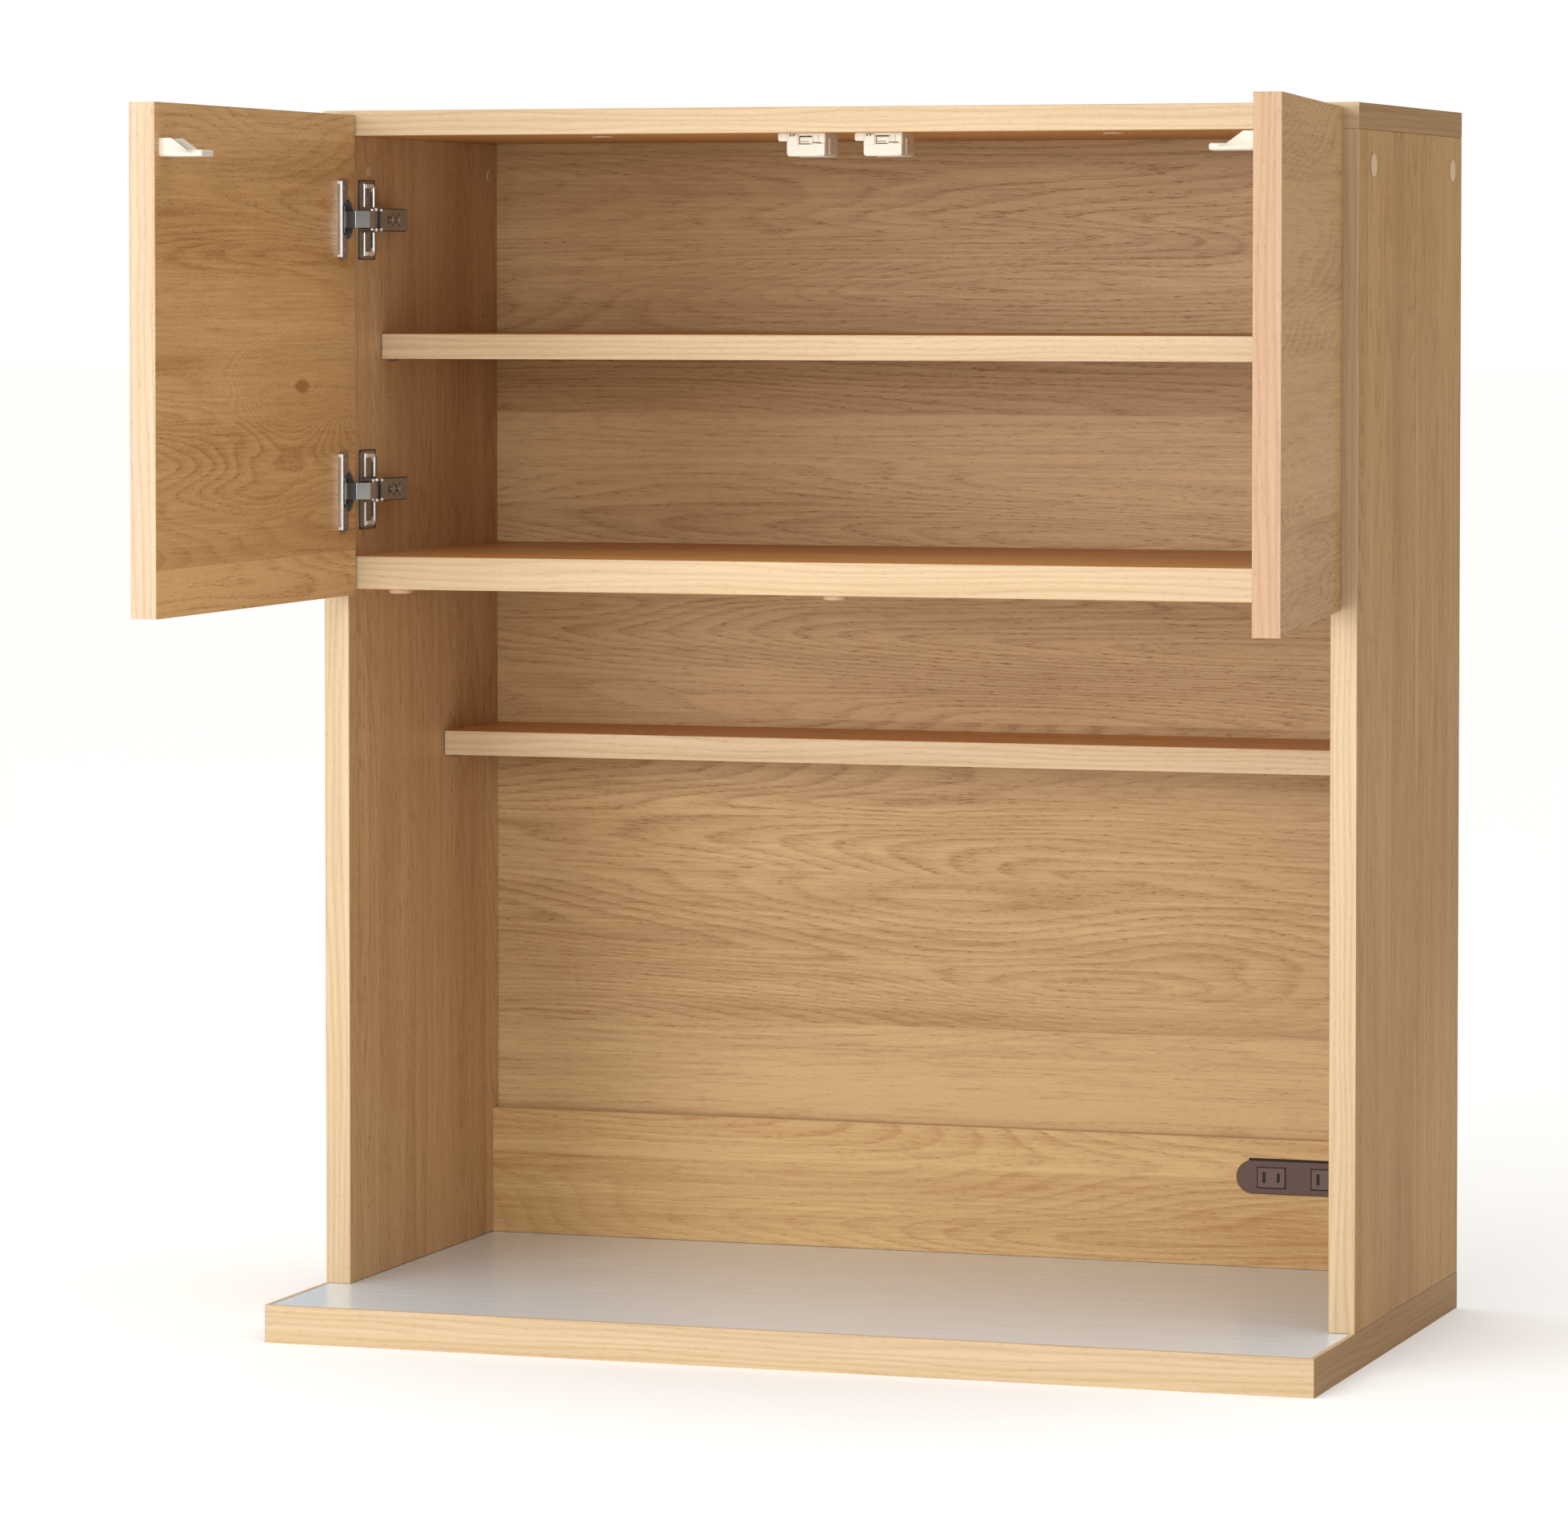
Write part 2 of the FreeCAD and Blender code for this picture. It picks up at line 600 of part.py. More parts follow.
def mounting_plate(z):
    """The cross plate on the side panel: wings up and down, and the ridge that the arm rides."""
    low_x = -INNER
    back = PLATE_FRONT + PLATE_WIDTH
    wing = box(low_x, low_x + PLATE_T, PLATE_FRONT, back, z - PLATE_HALF_H, z + PLATE_HALF_H)
    wing = round_edges(wing, vec(1, 0, 0), PLATE_CORNER, lambda p: p.y < PLATE_FRONT + 0.1)
    for sign in (-1, 1):
        tip = z + sign * PLATE_HALF_H
        corner = [(low_x, back, tip), (low_x, back - PLATE_CHAMFER, tip),
                  (low_x, back, tip - sign * PLATE_CHAMFER)]
        wing = wing.cut(prism(corner, (PLATE_T, 0, 0)))
        slot_mid = z + sign * PLATE_SCREW_HALF
        wing = wing.cut(box(low_x, low_x + PLATE_T, PLATE_SLOT_Y, PLATE_SLOT_Y + PLATE_SLOT_W,
                            slot_mid - PLATE_SLOT_L / 2, slot_mid + PLATE_SLOT_L / 2))
    inner = LINK_HALF_H + EAR_GAP
    ridge_top = ARM_PIVOT[0] + ARM_WEB_OUT
    ridge = box(low_x, ridge_top, ARM_WEB_FROM + 1.5, RIDGE_END, z - inner, z + inner)
    foot = box(low_x, low_x + PLATE_T, PLATE_FRONT, RIDGE_END, z - inner - EAR_T, z + inner + EAR_T)
    cuts = arm_screws(z)
    cuts += [screw_hole((low_x + PLATE_T, PLATE_SCREW_Y, z + s), (-1, 0, 0))
             for s in (-PLATE_SCREW_HALF, PLATE_SCREW_HALF)]
    return carve(join([wing, foot, ridge]), cuts)


def plate_screws(z):
    return [screw((-INNER + PLATE_T, PLATE_SCREW_Y, z + s), (-1, 0, 0))
            for s in (-PLATE_SCREW_HALF, PLATE_SCREW_HALF)]


def cup_screws(z):
    return [screw(place, (0, -1, 0)) for place in cup_screw_places(z)]


# Latches and strikes ----------------------------------------------------------------------------


def strike_screw_places(middle):
    face = -DOOR_SHUT_GAP + STRIKE_BASE_T
    z = LATCH_BOTTOM - STRIKE_UNDER_LATCH - STRIKE_ARM_H + STRIKE_H / 2 + 1
    return [(-middle + shift, face, z) for shift in (-STRIKE_W / 4, STRIKE_W / 4)]


def strike(middle):
    """The strike, shut: two gusset walls, a base on the door and a round nose under the latch."""
    low = LATCH_BOTTOM - STRIKE_UNDER_LATCH - STRIKE_ARM_H
    face = -DOOR_SHUT_GAP
    left = -middle - STRIKE_W / 2
    top = low + STRIKE_H
    arm_top = low + STRIKE_ARM_H
    tip = face + STRIKE_REACH
    slope_end = face + STRIKE_TOP_L + STRIKE_SLOPE_L
    profile = [(left, face, low), (left, tip, low), (left, tip, arm_top), (left, slope_end, arm_top),
               (left, face + STRIKE_TOP_L, top), (left, face, top)]
    body = prism(profile, (STRIKE_W, 0, 0))
    body = round_edges(body, vec(1, 0, 0), 1.8, lambda p: p.y > tip - 0.1)
    body = round_edges(body, UP, 3.0, lambda p: p.y > tip - 4)
    pocket = box(left + STRIKE_WALL, left + STRIKE_W - STRIKE_WALL, face + STRIKE_BASE_T, tip - STRIKE_NOSE_L,
                 low + STRIKE_WALL, top)
    cuts = [pocket] + [screw_hole(place, (0, -1, 0)) for place in strike_screw_places(middle)]
    return carve(body, cuts)


def strike_screws(middle):
    return [screw(place, (0, -1, 0)) for place in strike_screw_places(middle)]


def latch_screw_places():
    """Two screws up through the roof of each latch."""
    places = []
    y = LATCH_FRONT + LATCH_DEEP - LATCH_SCREW_FROM_BACK
    for middle in LATCH_CENTRES:
        for shift in (-LATCH_W / 4, LATCH_W / 4):
            places.append((middle + shift, y, CARCASS_TOP - LATCH_WALL))
    return places


def latch_body(middle):
    """A hollow housing, open below, with a mouth in its front and a tab on its left."""
    left = middle - LATCH_W / 2
    right = middle + LATCH_W / 2
    back = LATCH_FRONT + LATCH_DEEP
    shell = box(left, right, LATCH_FRONT, back, LATCH_BOTTOM, CARCASS_TOP)
    shell = round_edges(shell, vec(0, 1, 0), LATCH_CORNER, lambda p: p.z < LATCH_BOTTOM + 0.1)
    shell = round_edges(shell, UP, 1.5, lambda p: p.y < LATCH_FRONT + 0.1)
    inside = box(left + LATCH_WALL, right - LATCH_WALL, LATCH_FRONT + LATCH_WALL, back - LATCH_WALL,
                 LATCH_BOTTOM - 1, CARCASS_TOP - LATCH_WALL)
    mouth = box(middle - LATCH_MOUTH_W / 2, middle + LATCH_MOUTH_W / 2, LATCH_FRONT - 1,
                LATCH_FRONT + LATCH_MOUTH_DEEP,
                LATCH_BOTTOM + LATCH_LIP_H, CARCASS_TOP - LATCH_WALL)
    rib_front = LATCH_FRONT + LATCH_RIB_FROM
    rib = box(right, right + LATCH_RIB_T, rib_front, rib_front + LATCH_RIB_W, LATCH_BOTTOM + LATCH_WALL,
              CARCASS_TOP - 2 * LATCH_WALL)
    tab = box(left - LATCH_TAB_W, left + 1, LATCH_FRONT + 1, LATCH_FRONT + LATCH_TAB_DEEP,
              CARCASS_TOP - LATCH_TAB_H, CARCASS_TOP)
    tab = round_edges(tab, vec(0, 1, 0), 1.5, lambda p: p.x < left - LATCH_TAB_W + 0.1)
    boss_low = LATCH_BOTTOM + LATCH_LIP_H + LATCH_BOSS_UP
    boss = rod((middle + LATCH_MOUTH_W / 2 + LATCH_BOSS_ASIDE, LATCH_FRONT + LATCH_BOSS_R - 1, boss_low),
               (0, 0, 1), LATCH_BOSS_R, CARCASS_TOP - boss_low)
    body = join([shell, tab, rib]).cut(inside).cut(mouth)
    body = body.fuse(boss).removeSplitter()
    pin_hole = latch_pin(middle)
    seats = [screw_hole(place, (0, 0, 1)) for place in latch_screw_places()]
    return carve(body, [pin_hole] + seats)


def latch_pin(middle):
    start = (middle - LATCH_W / 2, LATCH_PIN_Y, LATCH_BOTTOM + LATCH_PIN_Z)
    return rod(start, (1, 0, 0), LATCH_PIN_R, LATCH_W)


def latch_lever(middle):
    """The swinging catch: a tooth in front of the pin and a heavier tail behind it."""
    z = LATCH_BOTTOM + LATCH_PIN_Z
    left = middle - LEVER_W / 2
    eye = rod((left, LATCH_PIN_Y, z), (1, 0, 0), LEVER_EYE_R, LEVER_W)
    tooth_front = LATCH_FRONT + LATCH_WALL + LEVER_CLEAR
    arm = box(left, left + LEVER_W, tooth_front, LATCH_PIN_Y, z - LEVER_EYE_R, z)
    tooth = box(left, left + LEVER_W, tooth_front, tooth_front + LEVER_TOOTH_T,
                LATCH_BOTTOM + LEVER_TOOTH_UP, z)
    tail = box(middle - LEVER_TAIL_W / 2, middle + LEVER_TAIL_W / 2, LATCH_PIN_Y + LEVER_EYE_R,
               LATCH_FRONT + LATCH_DEEP - LATCH_WALL - LEVER_TAIL_GAP, LATCH_BOTTOM + LEVER_TAIL_UP, z + 2)
    neck = box(left, left + LEVER_W, LATCH_PIN_Y, LATCH_PIN_Y + LEVER_EYE_R + 1, z - LEVER_EYE_R, z)
    lever = join([eye, arm, tooth, neck, tail])
    bore = rod((left, LATCH_PIN_Y, z), (1, 0, 0), LATCH_PIN_R + RUNNING_GAP, LEVER_W)
    return lever.cut(bore)


# Outlet strip -----------------------------------------------------------------------------------


def stadium(x0, length, height, z, y0, y1, inset=0.0):
    """A long rounded slab, standing in the XZ plane."""
    radius = height / 2 - inset
    left = x0 + height / 2
    right = x0 + length - height / 2
    middle = box(left, right, y0, y1, z - radius, z + radius)
    ends = [rod((x, y0, z), (0, 1, 0), radius, y1 - y0) for x in (left, right)]
    return join([middle] + ends)


def outlet_window():
    """The opening that the housing passes through, in the board, the back panel and the rail."""
    return stadium(OUTLET_X, OUTLET_L, OUTLET_H, OUTLET_Z, BOARD_Y - 1, BOARD_Y + OUTLET_DEEP + 0.5,
                   OUTLET_RIM - OUTLET_BODY_GAP)


def outlet_cord_way():
    """The cut behind the housing that lets the cord out of the back."""
    x = OUTLET_X + OUTLET_L / 2
    high = OUTLET_Z + GLAND_R + 1
    return box(x - CORD_WAY_HALF_W, x + CORD_WAY_HALF_W, DEPTH - RAIL_T, DEPTH, COUNTER_T, high)


def socket_middles():
    return [OUTLET_X + SOCKET_FIRST + step * SOCKET_PITCH for step in (0, 1)]


def socket_block(x, gap):
    """The block of one socket, grown by a gap for the hole that it fits."""
    half_w = SOCKET_W / 2 + gap
    half_h = SOCKET_H / 2 + gap
    front = BOARD_Y - OUTLET_PROUD
    block = box(x - half_w, x + half_w, front - SOCKET_PROUD, front + SOCKET_T, OUTLET_Z - half_h,
                OUTLET_Z + half_h)
    return round_edges(block, vec(0, 1, 0), 1.2)


def outlet_cover():
    cover = stadium(OUTLET_X, OUTLET_L, OUTLET_H, OUTLET_Z, BOARD_Y - OUTLET_PROUD, BOARD_Y)
    front = [e for e in cover.Edges if abs(e.CenterOfMass.y - BOARD_Y + OUTLET_PROUD) < 1e-6]
    cover = cover.makeFillet(1.0, front)
    return carve(cover, [socket_block(x, FIT) for x in socket_middles()])


def outlet_sockets():
    """Two socket faces, each with its pair of blade slots."""
    blocks = []
    for x in socket_middles():
        cuts = []
        for side, height in zip((-1, 1), SLOT_H):
            middle = x + side * SLOT_HALF_PITCH
            cuts.append(box(middle - SLOT_W / 2, middle + SLOT_W / 2, BOARD_Y - OUTLET_PROUD - SOCKET_PROUD,
                            BOARD_Y - OUTLET_PROUD + SOCKET_T, OUTLET_Z - height / 2, OUTLET_Z + height / 2))
        blocks.append(carve(socket_block(x, 0), cuts))
    return blocks


def outlet_housing():
    """The box behind the cover, open at the front where the sockets sit."""
    shell = stadium(OUTLET_X, OUTLET_L, OUTLET_H, OUTLET_Z, BOARD_Y, BOARD_Y + OUTLET_DEEP, OUTLET_RIM)
    hollow = stadium(OUTLET_X, OUTLET_L, OUTLET_H, OUTLET_Z, BOARD_Y, BOARD_Y + OUTLET_DEEP - OUTLET_WALL,
                     OUTLET_RIM + OUTLET_WALL)
    return carve(shell, [hollow, outlet_gland_rod(GLAND_R)])


def outlet_contacts():
    """Brass blade contacts behind the slots, one pair each."""
    contacts = []
    for x in socket_middles():
        for side, height in zip((-1, 1), SLOT_H):
            middle = x + side * SLOT_HALF_PITCH
            start = BOARD_Y - OUTLET_PROUD + SOCKET_T
            for edge in (-1, 1):
                face = middle + edge * (SLOT_W / 2 + CONTACT_T / 2)
                contacts.append(box(face - CONTACT_T / 2, face + CONTACT_T / 2, start, start + SOCKET_T,
                                    OUTLET_Z - height / 2, OUTLET_Z + height / 2))
    return contacts


def outlet_gland_rod(radius):
    start = (OUTLET_X + OUTLET_L / 2, BOARD_Y + OUTLET_DEEP - OUTLET_WALL, OUTLET_Z)
    return rod(start, (0, 1, 0), radius, GLAND_L)


def outlet_gland():
    return outlet_gland_rod(GLAND_R).cut(outlet_gland_rod(GLAND_BORE_R))


# Open poses ---------------------------------------------------------------------------------------


def link_open(shape, angle):
    """Turn the left link from shut to the door angle given; the link turns the opposite way."""
    turned = shape.copy()
    turned.rotate(vec(ARM_PIVOT[0], ARM_PIVOT[1], 0), UP, LINK_TURN_SHARE * angle)
    return turned


def door_open(shape, angle):
    """Turn the left door from shut to an angle: about its cup pins, then with the link."""
    turned = shape.copy()
    turned.rotate(vec(CUP_PIVOT[0], CUP_PIVOT[1], 0), UP, -(1 + LINK_TURN_SHARE) * angle)
    return link_open(turned, angle)


def cup_pivot_open(angle):
    point = Part.Vertex(CUP_PIVOT[0], CUP_PIVOT[1], 0)
    point.rotate(vec(ARM_PIVOT[0], ARM_PIVOT[1], 0), UP, LINK_TURN_SHARE * angle)
    return point.Point


def save_hinged(name, left, right, turn):
    """Write the left node, and the mirrored right one, each at its own rest angle."""
    save(name + "_left", [turn(shape, LEFT_OPEN) for shape in left])
    save(name + "_right", [mirrored(turn(shape, RIGHT_OPEN)) for shape in right])


def save_fixed(name, shapes):
    save(name + "_left", shapes)
    save(name + "_right", [mirrored(shape) for shape in shapes])


def each_hinge(make):
    made = []
    for z in HINGE_Z:
        one = make(z)
        made.extend(one if isinstance(one, list) else [one])
    return made


os.makedirs("parts", exist_ok=True)

save_fixed("side_panel", [side_panel()])
save("top_panel", [top_panel()])
save("compartment_floor", [compartment_floor()])
save("counter_core", [counter_core()])
save("counter_edging", counter_edging())
save("counter_steel_sheet", [counter_steel()])
save("back_panel", [back_panel()])
save("back_rails", back_rails())
save("service_board", [service_board()])
save("shelf_upper", [shelf(UPPER_SHELF_Z, UPPER_SHELF_FRONT)])
save("shelf_lower", [shelf(LOWER_SHELF_Z, LOWER_SHELF_FRONT)])
save("shelf_pins_upper", shelf_pins(UPPER_SHELF_Z, UPPER_SHELF_FRONT))
save("shelf_pins_lower", shelf_pins(LOWER_SHELF_Z, LOWER_SHELF_FRONT))
save("dowels", all_dowels())
save("side_caps_outer", side_caps(-HALF, -1, CONNECTOR_CAP_R))
save("side_caps_inner", side_caps(-INNER, 1, INNER_CAP_R))
save("floor_caps", floor_caps())
save("top_caps", top_caps())

save_hinged("door", [door(STRIKE_MIDDLES[0])], [door(STRIKE_MIDDLES[1])], door_open)
save_hinged("strike", [strike(STRIKE_MIDDLES[0])], [strike(STRIKE_MIDDLES[1])], door_open)
save_hinged("strike_screws", strike_screws(STRIKE_MIDDLES[0]), strike_screws(STRIKE_MIDDLES[1]), door_open)
for name, make, turn in (("hinge_cups", hinge_cup, door_open), ("cup_screws", cup_screws, door_open),
                         ("cup_pins", cup_pin, door_open), ("hinge_links", hinge_link, link_open)):
    save_hinged(name, each_hinge(make), each_hinge(make), turn)
save_fixed("arm_pins", each_hinge(arm_pin))
save_fixed("hinge_arms", each_hinge(hinge_arm))
save_fixed("arm_screws", each_hinge(arm_screws))
save_fixed("mounting_plates", each_hinge(mounting_plate))
save_fixed("plate_screws", each_hinge(plate_screws))

for side, middle in zip(("left", "right"), LATCH_CENTRES):
    save("latch_body_" + side, [latch_body(middle)])
    save("latch_pin_" + side, [latch_pin(middle)])
    save("latch_lever_" + side, [latch_lever(middle)])
save("latch_screws", [screw(place, (0, 0, 1)) for place in latch_screw_places()])

save("outlet_cover", [outlet_cover()])
save("outlet_sockets", outlet_sockets())
save("outlet_housing", [outlet_housing()])
save("outlet_contacts", outlet_contacts())
save("outlet_gland", [outlet_gland()])

for side, sign, angle in (("left", 1, LEFT_OPEN), ("right", -1, RIGHT_OPEN)):
    pivot = cup_pivot_open(angle)
    print(side, "arm pivot", sign * ARM_PIVOT[0], ARM_PIVOT[1], "cup pivot", sign * pivot.x, pivot.y)
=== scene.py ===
# %% [markdown]
# A kitchen top unit in oak: two doors over an open niche, on a counter with a steel sheet.
# The bodies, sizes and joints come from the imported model. These cells dress it: they build the
# boards with their edge bands, the hinges, latches and sockets, and give each one its finish.

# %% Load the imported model
import bpy
import bmesh
import math
from mathutils import Matrix, Vector


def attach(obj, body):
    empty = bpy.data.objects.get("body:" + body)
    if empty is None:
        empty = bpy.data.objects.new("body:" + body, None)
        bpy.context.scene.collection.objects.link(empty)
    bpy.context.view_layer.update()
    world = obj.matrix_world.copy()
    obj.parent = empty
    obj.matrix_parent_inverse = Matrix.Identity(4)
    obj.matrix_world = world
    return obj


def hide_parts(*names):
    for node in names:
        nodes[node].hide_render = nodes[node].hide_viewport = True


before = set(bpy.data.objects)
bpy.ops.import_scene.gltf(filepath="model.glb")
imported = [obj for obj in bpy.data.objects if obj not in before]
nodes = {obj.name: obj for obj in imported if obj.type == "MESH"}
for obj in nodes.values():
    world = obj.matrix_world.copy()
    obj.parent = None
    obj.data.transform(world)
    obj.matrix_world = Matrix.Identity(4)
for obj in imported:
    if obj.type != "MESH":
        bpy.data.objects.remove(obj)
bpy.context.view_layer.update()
scene = bpy.context.scene

# %% [markdown]
# The camera stands a little to the right of the cabinet and looks slightly down through a long
# lens, from far enough away that the verticals stay nearly parallel. A small vertical shift
# keeps them upright without tipping the camera.

# %% Camera
lens = bpy.data.cameras.new("camera")
camera = bpy.data.objects.new("camera", lens)
scene.collection.objects.link(camera)
scene.camera = camera
lens.sensor_width = 36.0
lens.lens = 155.54
lens.shift_y = -0.1156
camera.location = (1.7470, -5.3256, 0.8829)
camera.rotation_euler = (math.radians(90 - 2.4712), 0, math.radians(18.5315))
print("camera", camera.location, "lens", lens.lens)

# %% [markdown]
# Studio light. A white room gives even fill. The key is a broad softbox at the front left, and a
# smaller one in front reaches into the compartment. The ceiling is a very soft sun: it falls
# evenly as far as the floor goes, so the floor stays pale right up to the horizon. The room is
# brighter to the camera than to the wood, so the sides that face away from the key still fall off.

# %% Room light and softboxes
FILL = 0.36
ROOM_SEEN = 1.05
KEY_WATTS = 94.0
FRONT_WATTS = 40.0
CEILING = 2.16
CEILING_SPREAD = math.radians(110)

scene.view_settings.view_transform = "Standard"
world = bpy.data.worlds.new("white_room")
scene.world = world
world.use_nodes = True
tree = world.node_tree
room = tree.nodes["Background"]
room.inputs["Color"].default_value = (1.0, 0.985, 0.96, 1)
path = tree.nodes.new("ShaderNodeLightPath")
seen = tree.nodes.new("ShaderNodeMapRange")
seen.inputs["To Min"].default_value = FILL
seen.inputs["To Max"].default_value = ROOM_SEEN
tree.links.new(path.outputs["Is Camera Ray"], seen.inputs["Value"])
tree.links.new(seen.outputs["Result"], room.inputs["Strength"])


def softbox(name, place, target, size, watts):
    """A square area light at a place, turned to face a target."""
    data = bpy.data.lights.new(name, "AREA")
    data.size = size
    data.energy = watts
    light = bpy.data.objects.new(name, data)
    scene.collection.objects.link(light)
    light.location = place
    light.rotation_euler = (Vector(target) - Vector(place)).to_track_quat("-Z", "Y").to_euler()
    return light


softbox("key", (-2.4, -4.7, 1.35), (0, 0, 0.6), 2.4, KEY_WATTS)
softbox("front", (0.05, -3.3, 1.2), (-0.1, 0, 0.9), 1.1, FRONT_WATTS)
glow = bpy.data.lights.new("ceiling", "SUN")
glow.energy = CEILING
glow.angle = CEILING_SPREAD
ceiling = bpy.data.objects.new("ceiling", glow)
scene.collection.objects.link(ceiling)

# %% [markdown]
# The floor is one flat, matte, nearly white square, far wider than any view. It isn't part of
# the object.

# %% Floor
FLOOR_HALF = 60

mesh = bpy.data.meshes.new("floor")
shape = bmesh.new()
bmesh.ops.create_grid(shape, x_segments=1, y_segments=1, size=FLOOR_HALF)
shape.to_mesh(mesh)
shape.free()
floor = bpy.data.objects.new("floor", mesh)
scene.collection.objects.link(floor)
paint = bpy.data.materials.new("pale_floor")
paint.use_nodes = True
coat = paint.node_tree.nodes["Principled BSDF"]
coat.inputs["Base Color"].default_value = (0.97, 0.965, 0.955, 1)
coat.inputs["Roughness"].default_value = 0.9
coat.inputs["Specular IOR Level"].default_value = 0.1
mesh.materials.append(paint)
print("floor", FLOOR_HALF * 2, "m wide")

# %% [markdown]
# Every finish below is a node tree. Two small helpers keep them readable: one places a node and
# fills or links its inputs by name, the other writes a sum as a Math node.

# %% Node helpers
def put(tree, kind, inputs=None, **settings):
    """Place a node; an input is a number, a colour or another node's output."""
    made = tree.nodes.new("ShaderNode" + kind)
    for name, value in settings.items():
        setattr(made, name, value)
    for name, value in (inputs or {}).items():
        if isinstance(value, bpy.types.NodeSocket):
            tree.links.new(value, made.inputs[name])
        else:
            made.inputs[name].default_value = value
    return made


def calc(tree, operation, *values):
    made = put(tree, "Math", dict(enumerate(values)), operation=operation)
    return made.outputs[0]


def mix(tree, amount, first, second, blend="MIX"):
    made = tree.nodes.new("ShaderNodeMix")
    made.data_type = "RGBA"
    made.blend_type = blend
    for socket, value in ((made.inputs[0], amount), (made.inputs[6], first), (made.inputs[7], second)):
        if isinstance(value, bpy.types.NodeSocket):
            tree.links.new(value, socket)
        else:
            socket.default_value = value
    return made.outputs[2]


def stretched_noise(tree, vector, scale, detail=2.0, roughness=0.5, distortion=0.0):
    """Noise on a vector that is scaled apart along its axes."""
    spread = put(tree, "Mapping", {"Vector": vector, "Scale": scale})
    noise = put(tree, "TexNoise", {"Vector": spread.outputs[0], "Scale": 1.0, "Detail": detail,
                                   "Roughness": roughness, "Distortion": distortion})
    return noise.outputs["Fac"]


def new_group(name, inputs, outputs):
    """A shader node group with named sockets; a socket's default tells its type."""
    group = bpy.data.node_groups.new(name, "ShaderNodeTree")
    for label, value in inputs.items():
        kind = "NodeSocketColor" if isinstance(value, tuple) and len(value) == 4 else "NodeSocketFloat"
        if value == "vector":
            kind = "NodeSocketVector"
        socket = group.interface.new_socket(name=label, in_out="INPUT", socket_type=kind)
        if value != "vector":
            socket.default_value = value
    for label, kind in outputs.items():
        group.interface.new_socket(name=label, in_out="OUTPUT", socket_type="NodeSocket" + kind)
    return group, group.nodes.new("NodeGroupInput").outputs, group.nodes.new("NodeGroupOutput").inputs


def srgb(red, green, blue):
    """A colour given as 0 to 255 screen values, as the linear colour that nodes take."""
    return tuple(((c / 255 + 0.055) / 1.055) ** 2.4 for c in (red, green, blue)) + (1.0,)


# %% [markdown]
# Oak veneer. A real sheet is several staves side by side, each sliced from its own log, so the
# group first finds which stave a point is in and moves the pattern by a random step for each.
# Growth rings are the contour lines of a smooth, stretched noise: that gives the long pointed
# arches of flat-sawn boards. Short dark pores gather on the ring lines, fine fibre runs along
# the grain, and a thin line marks each joint.

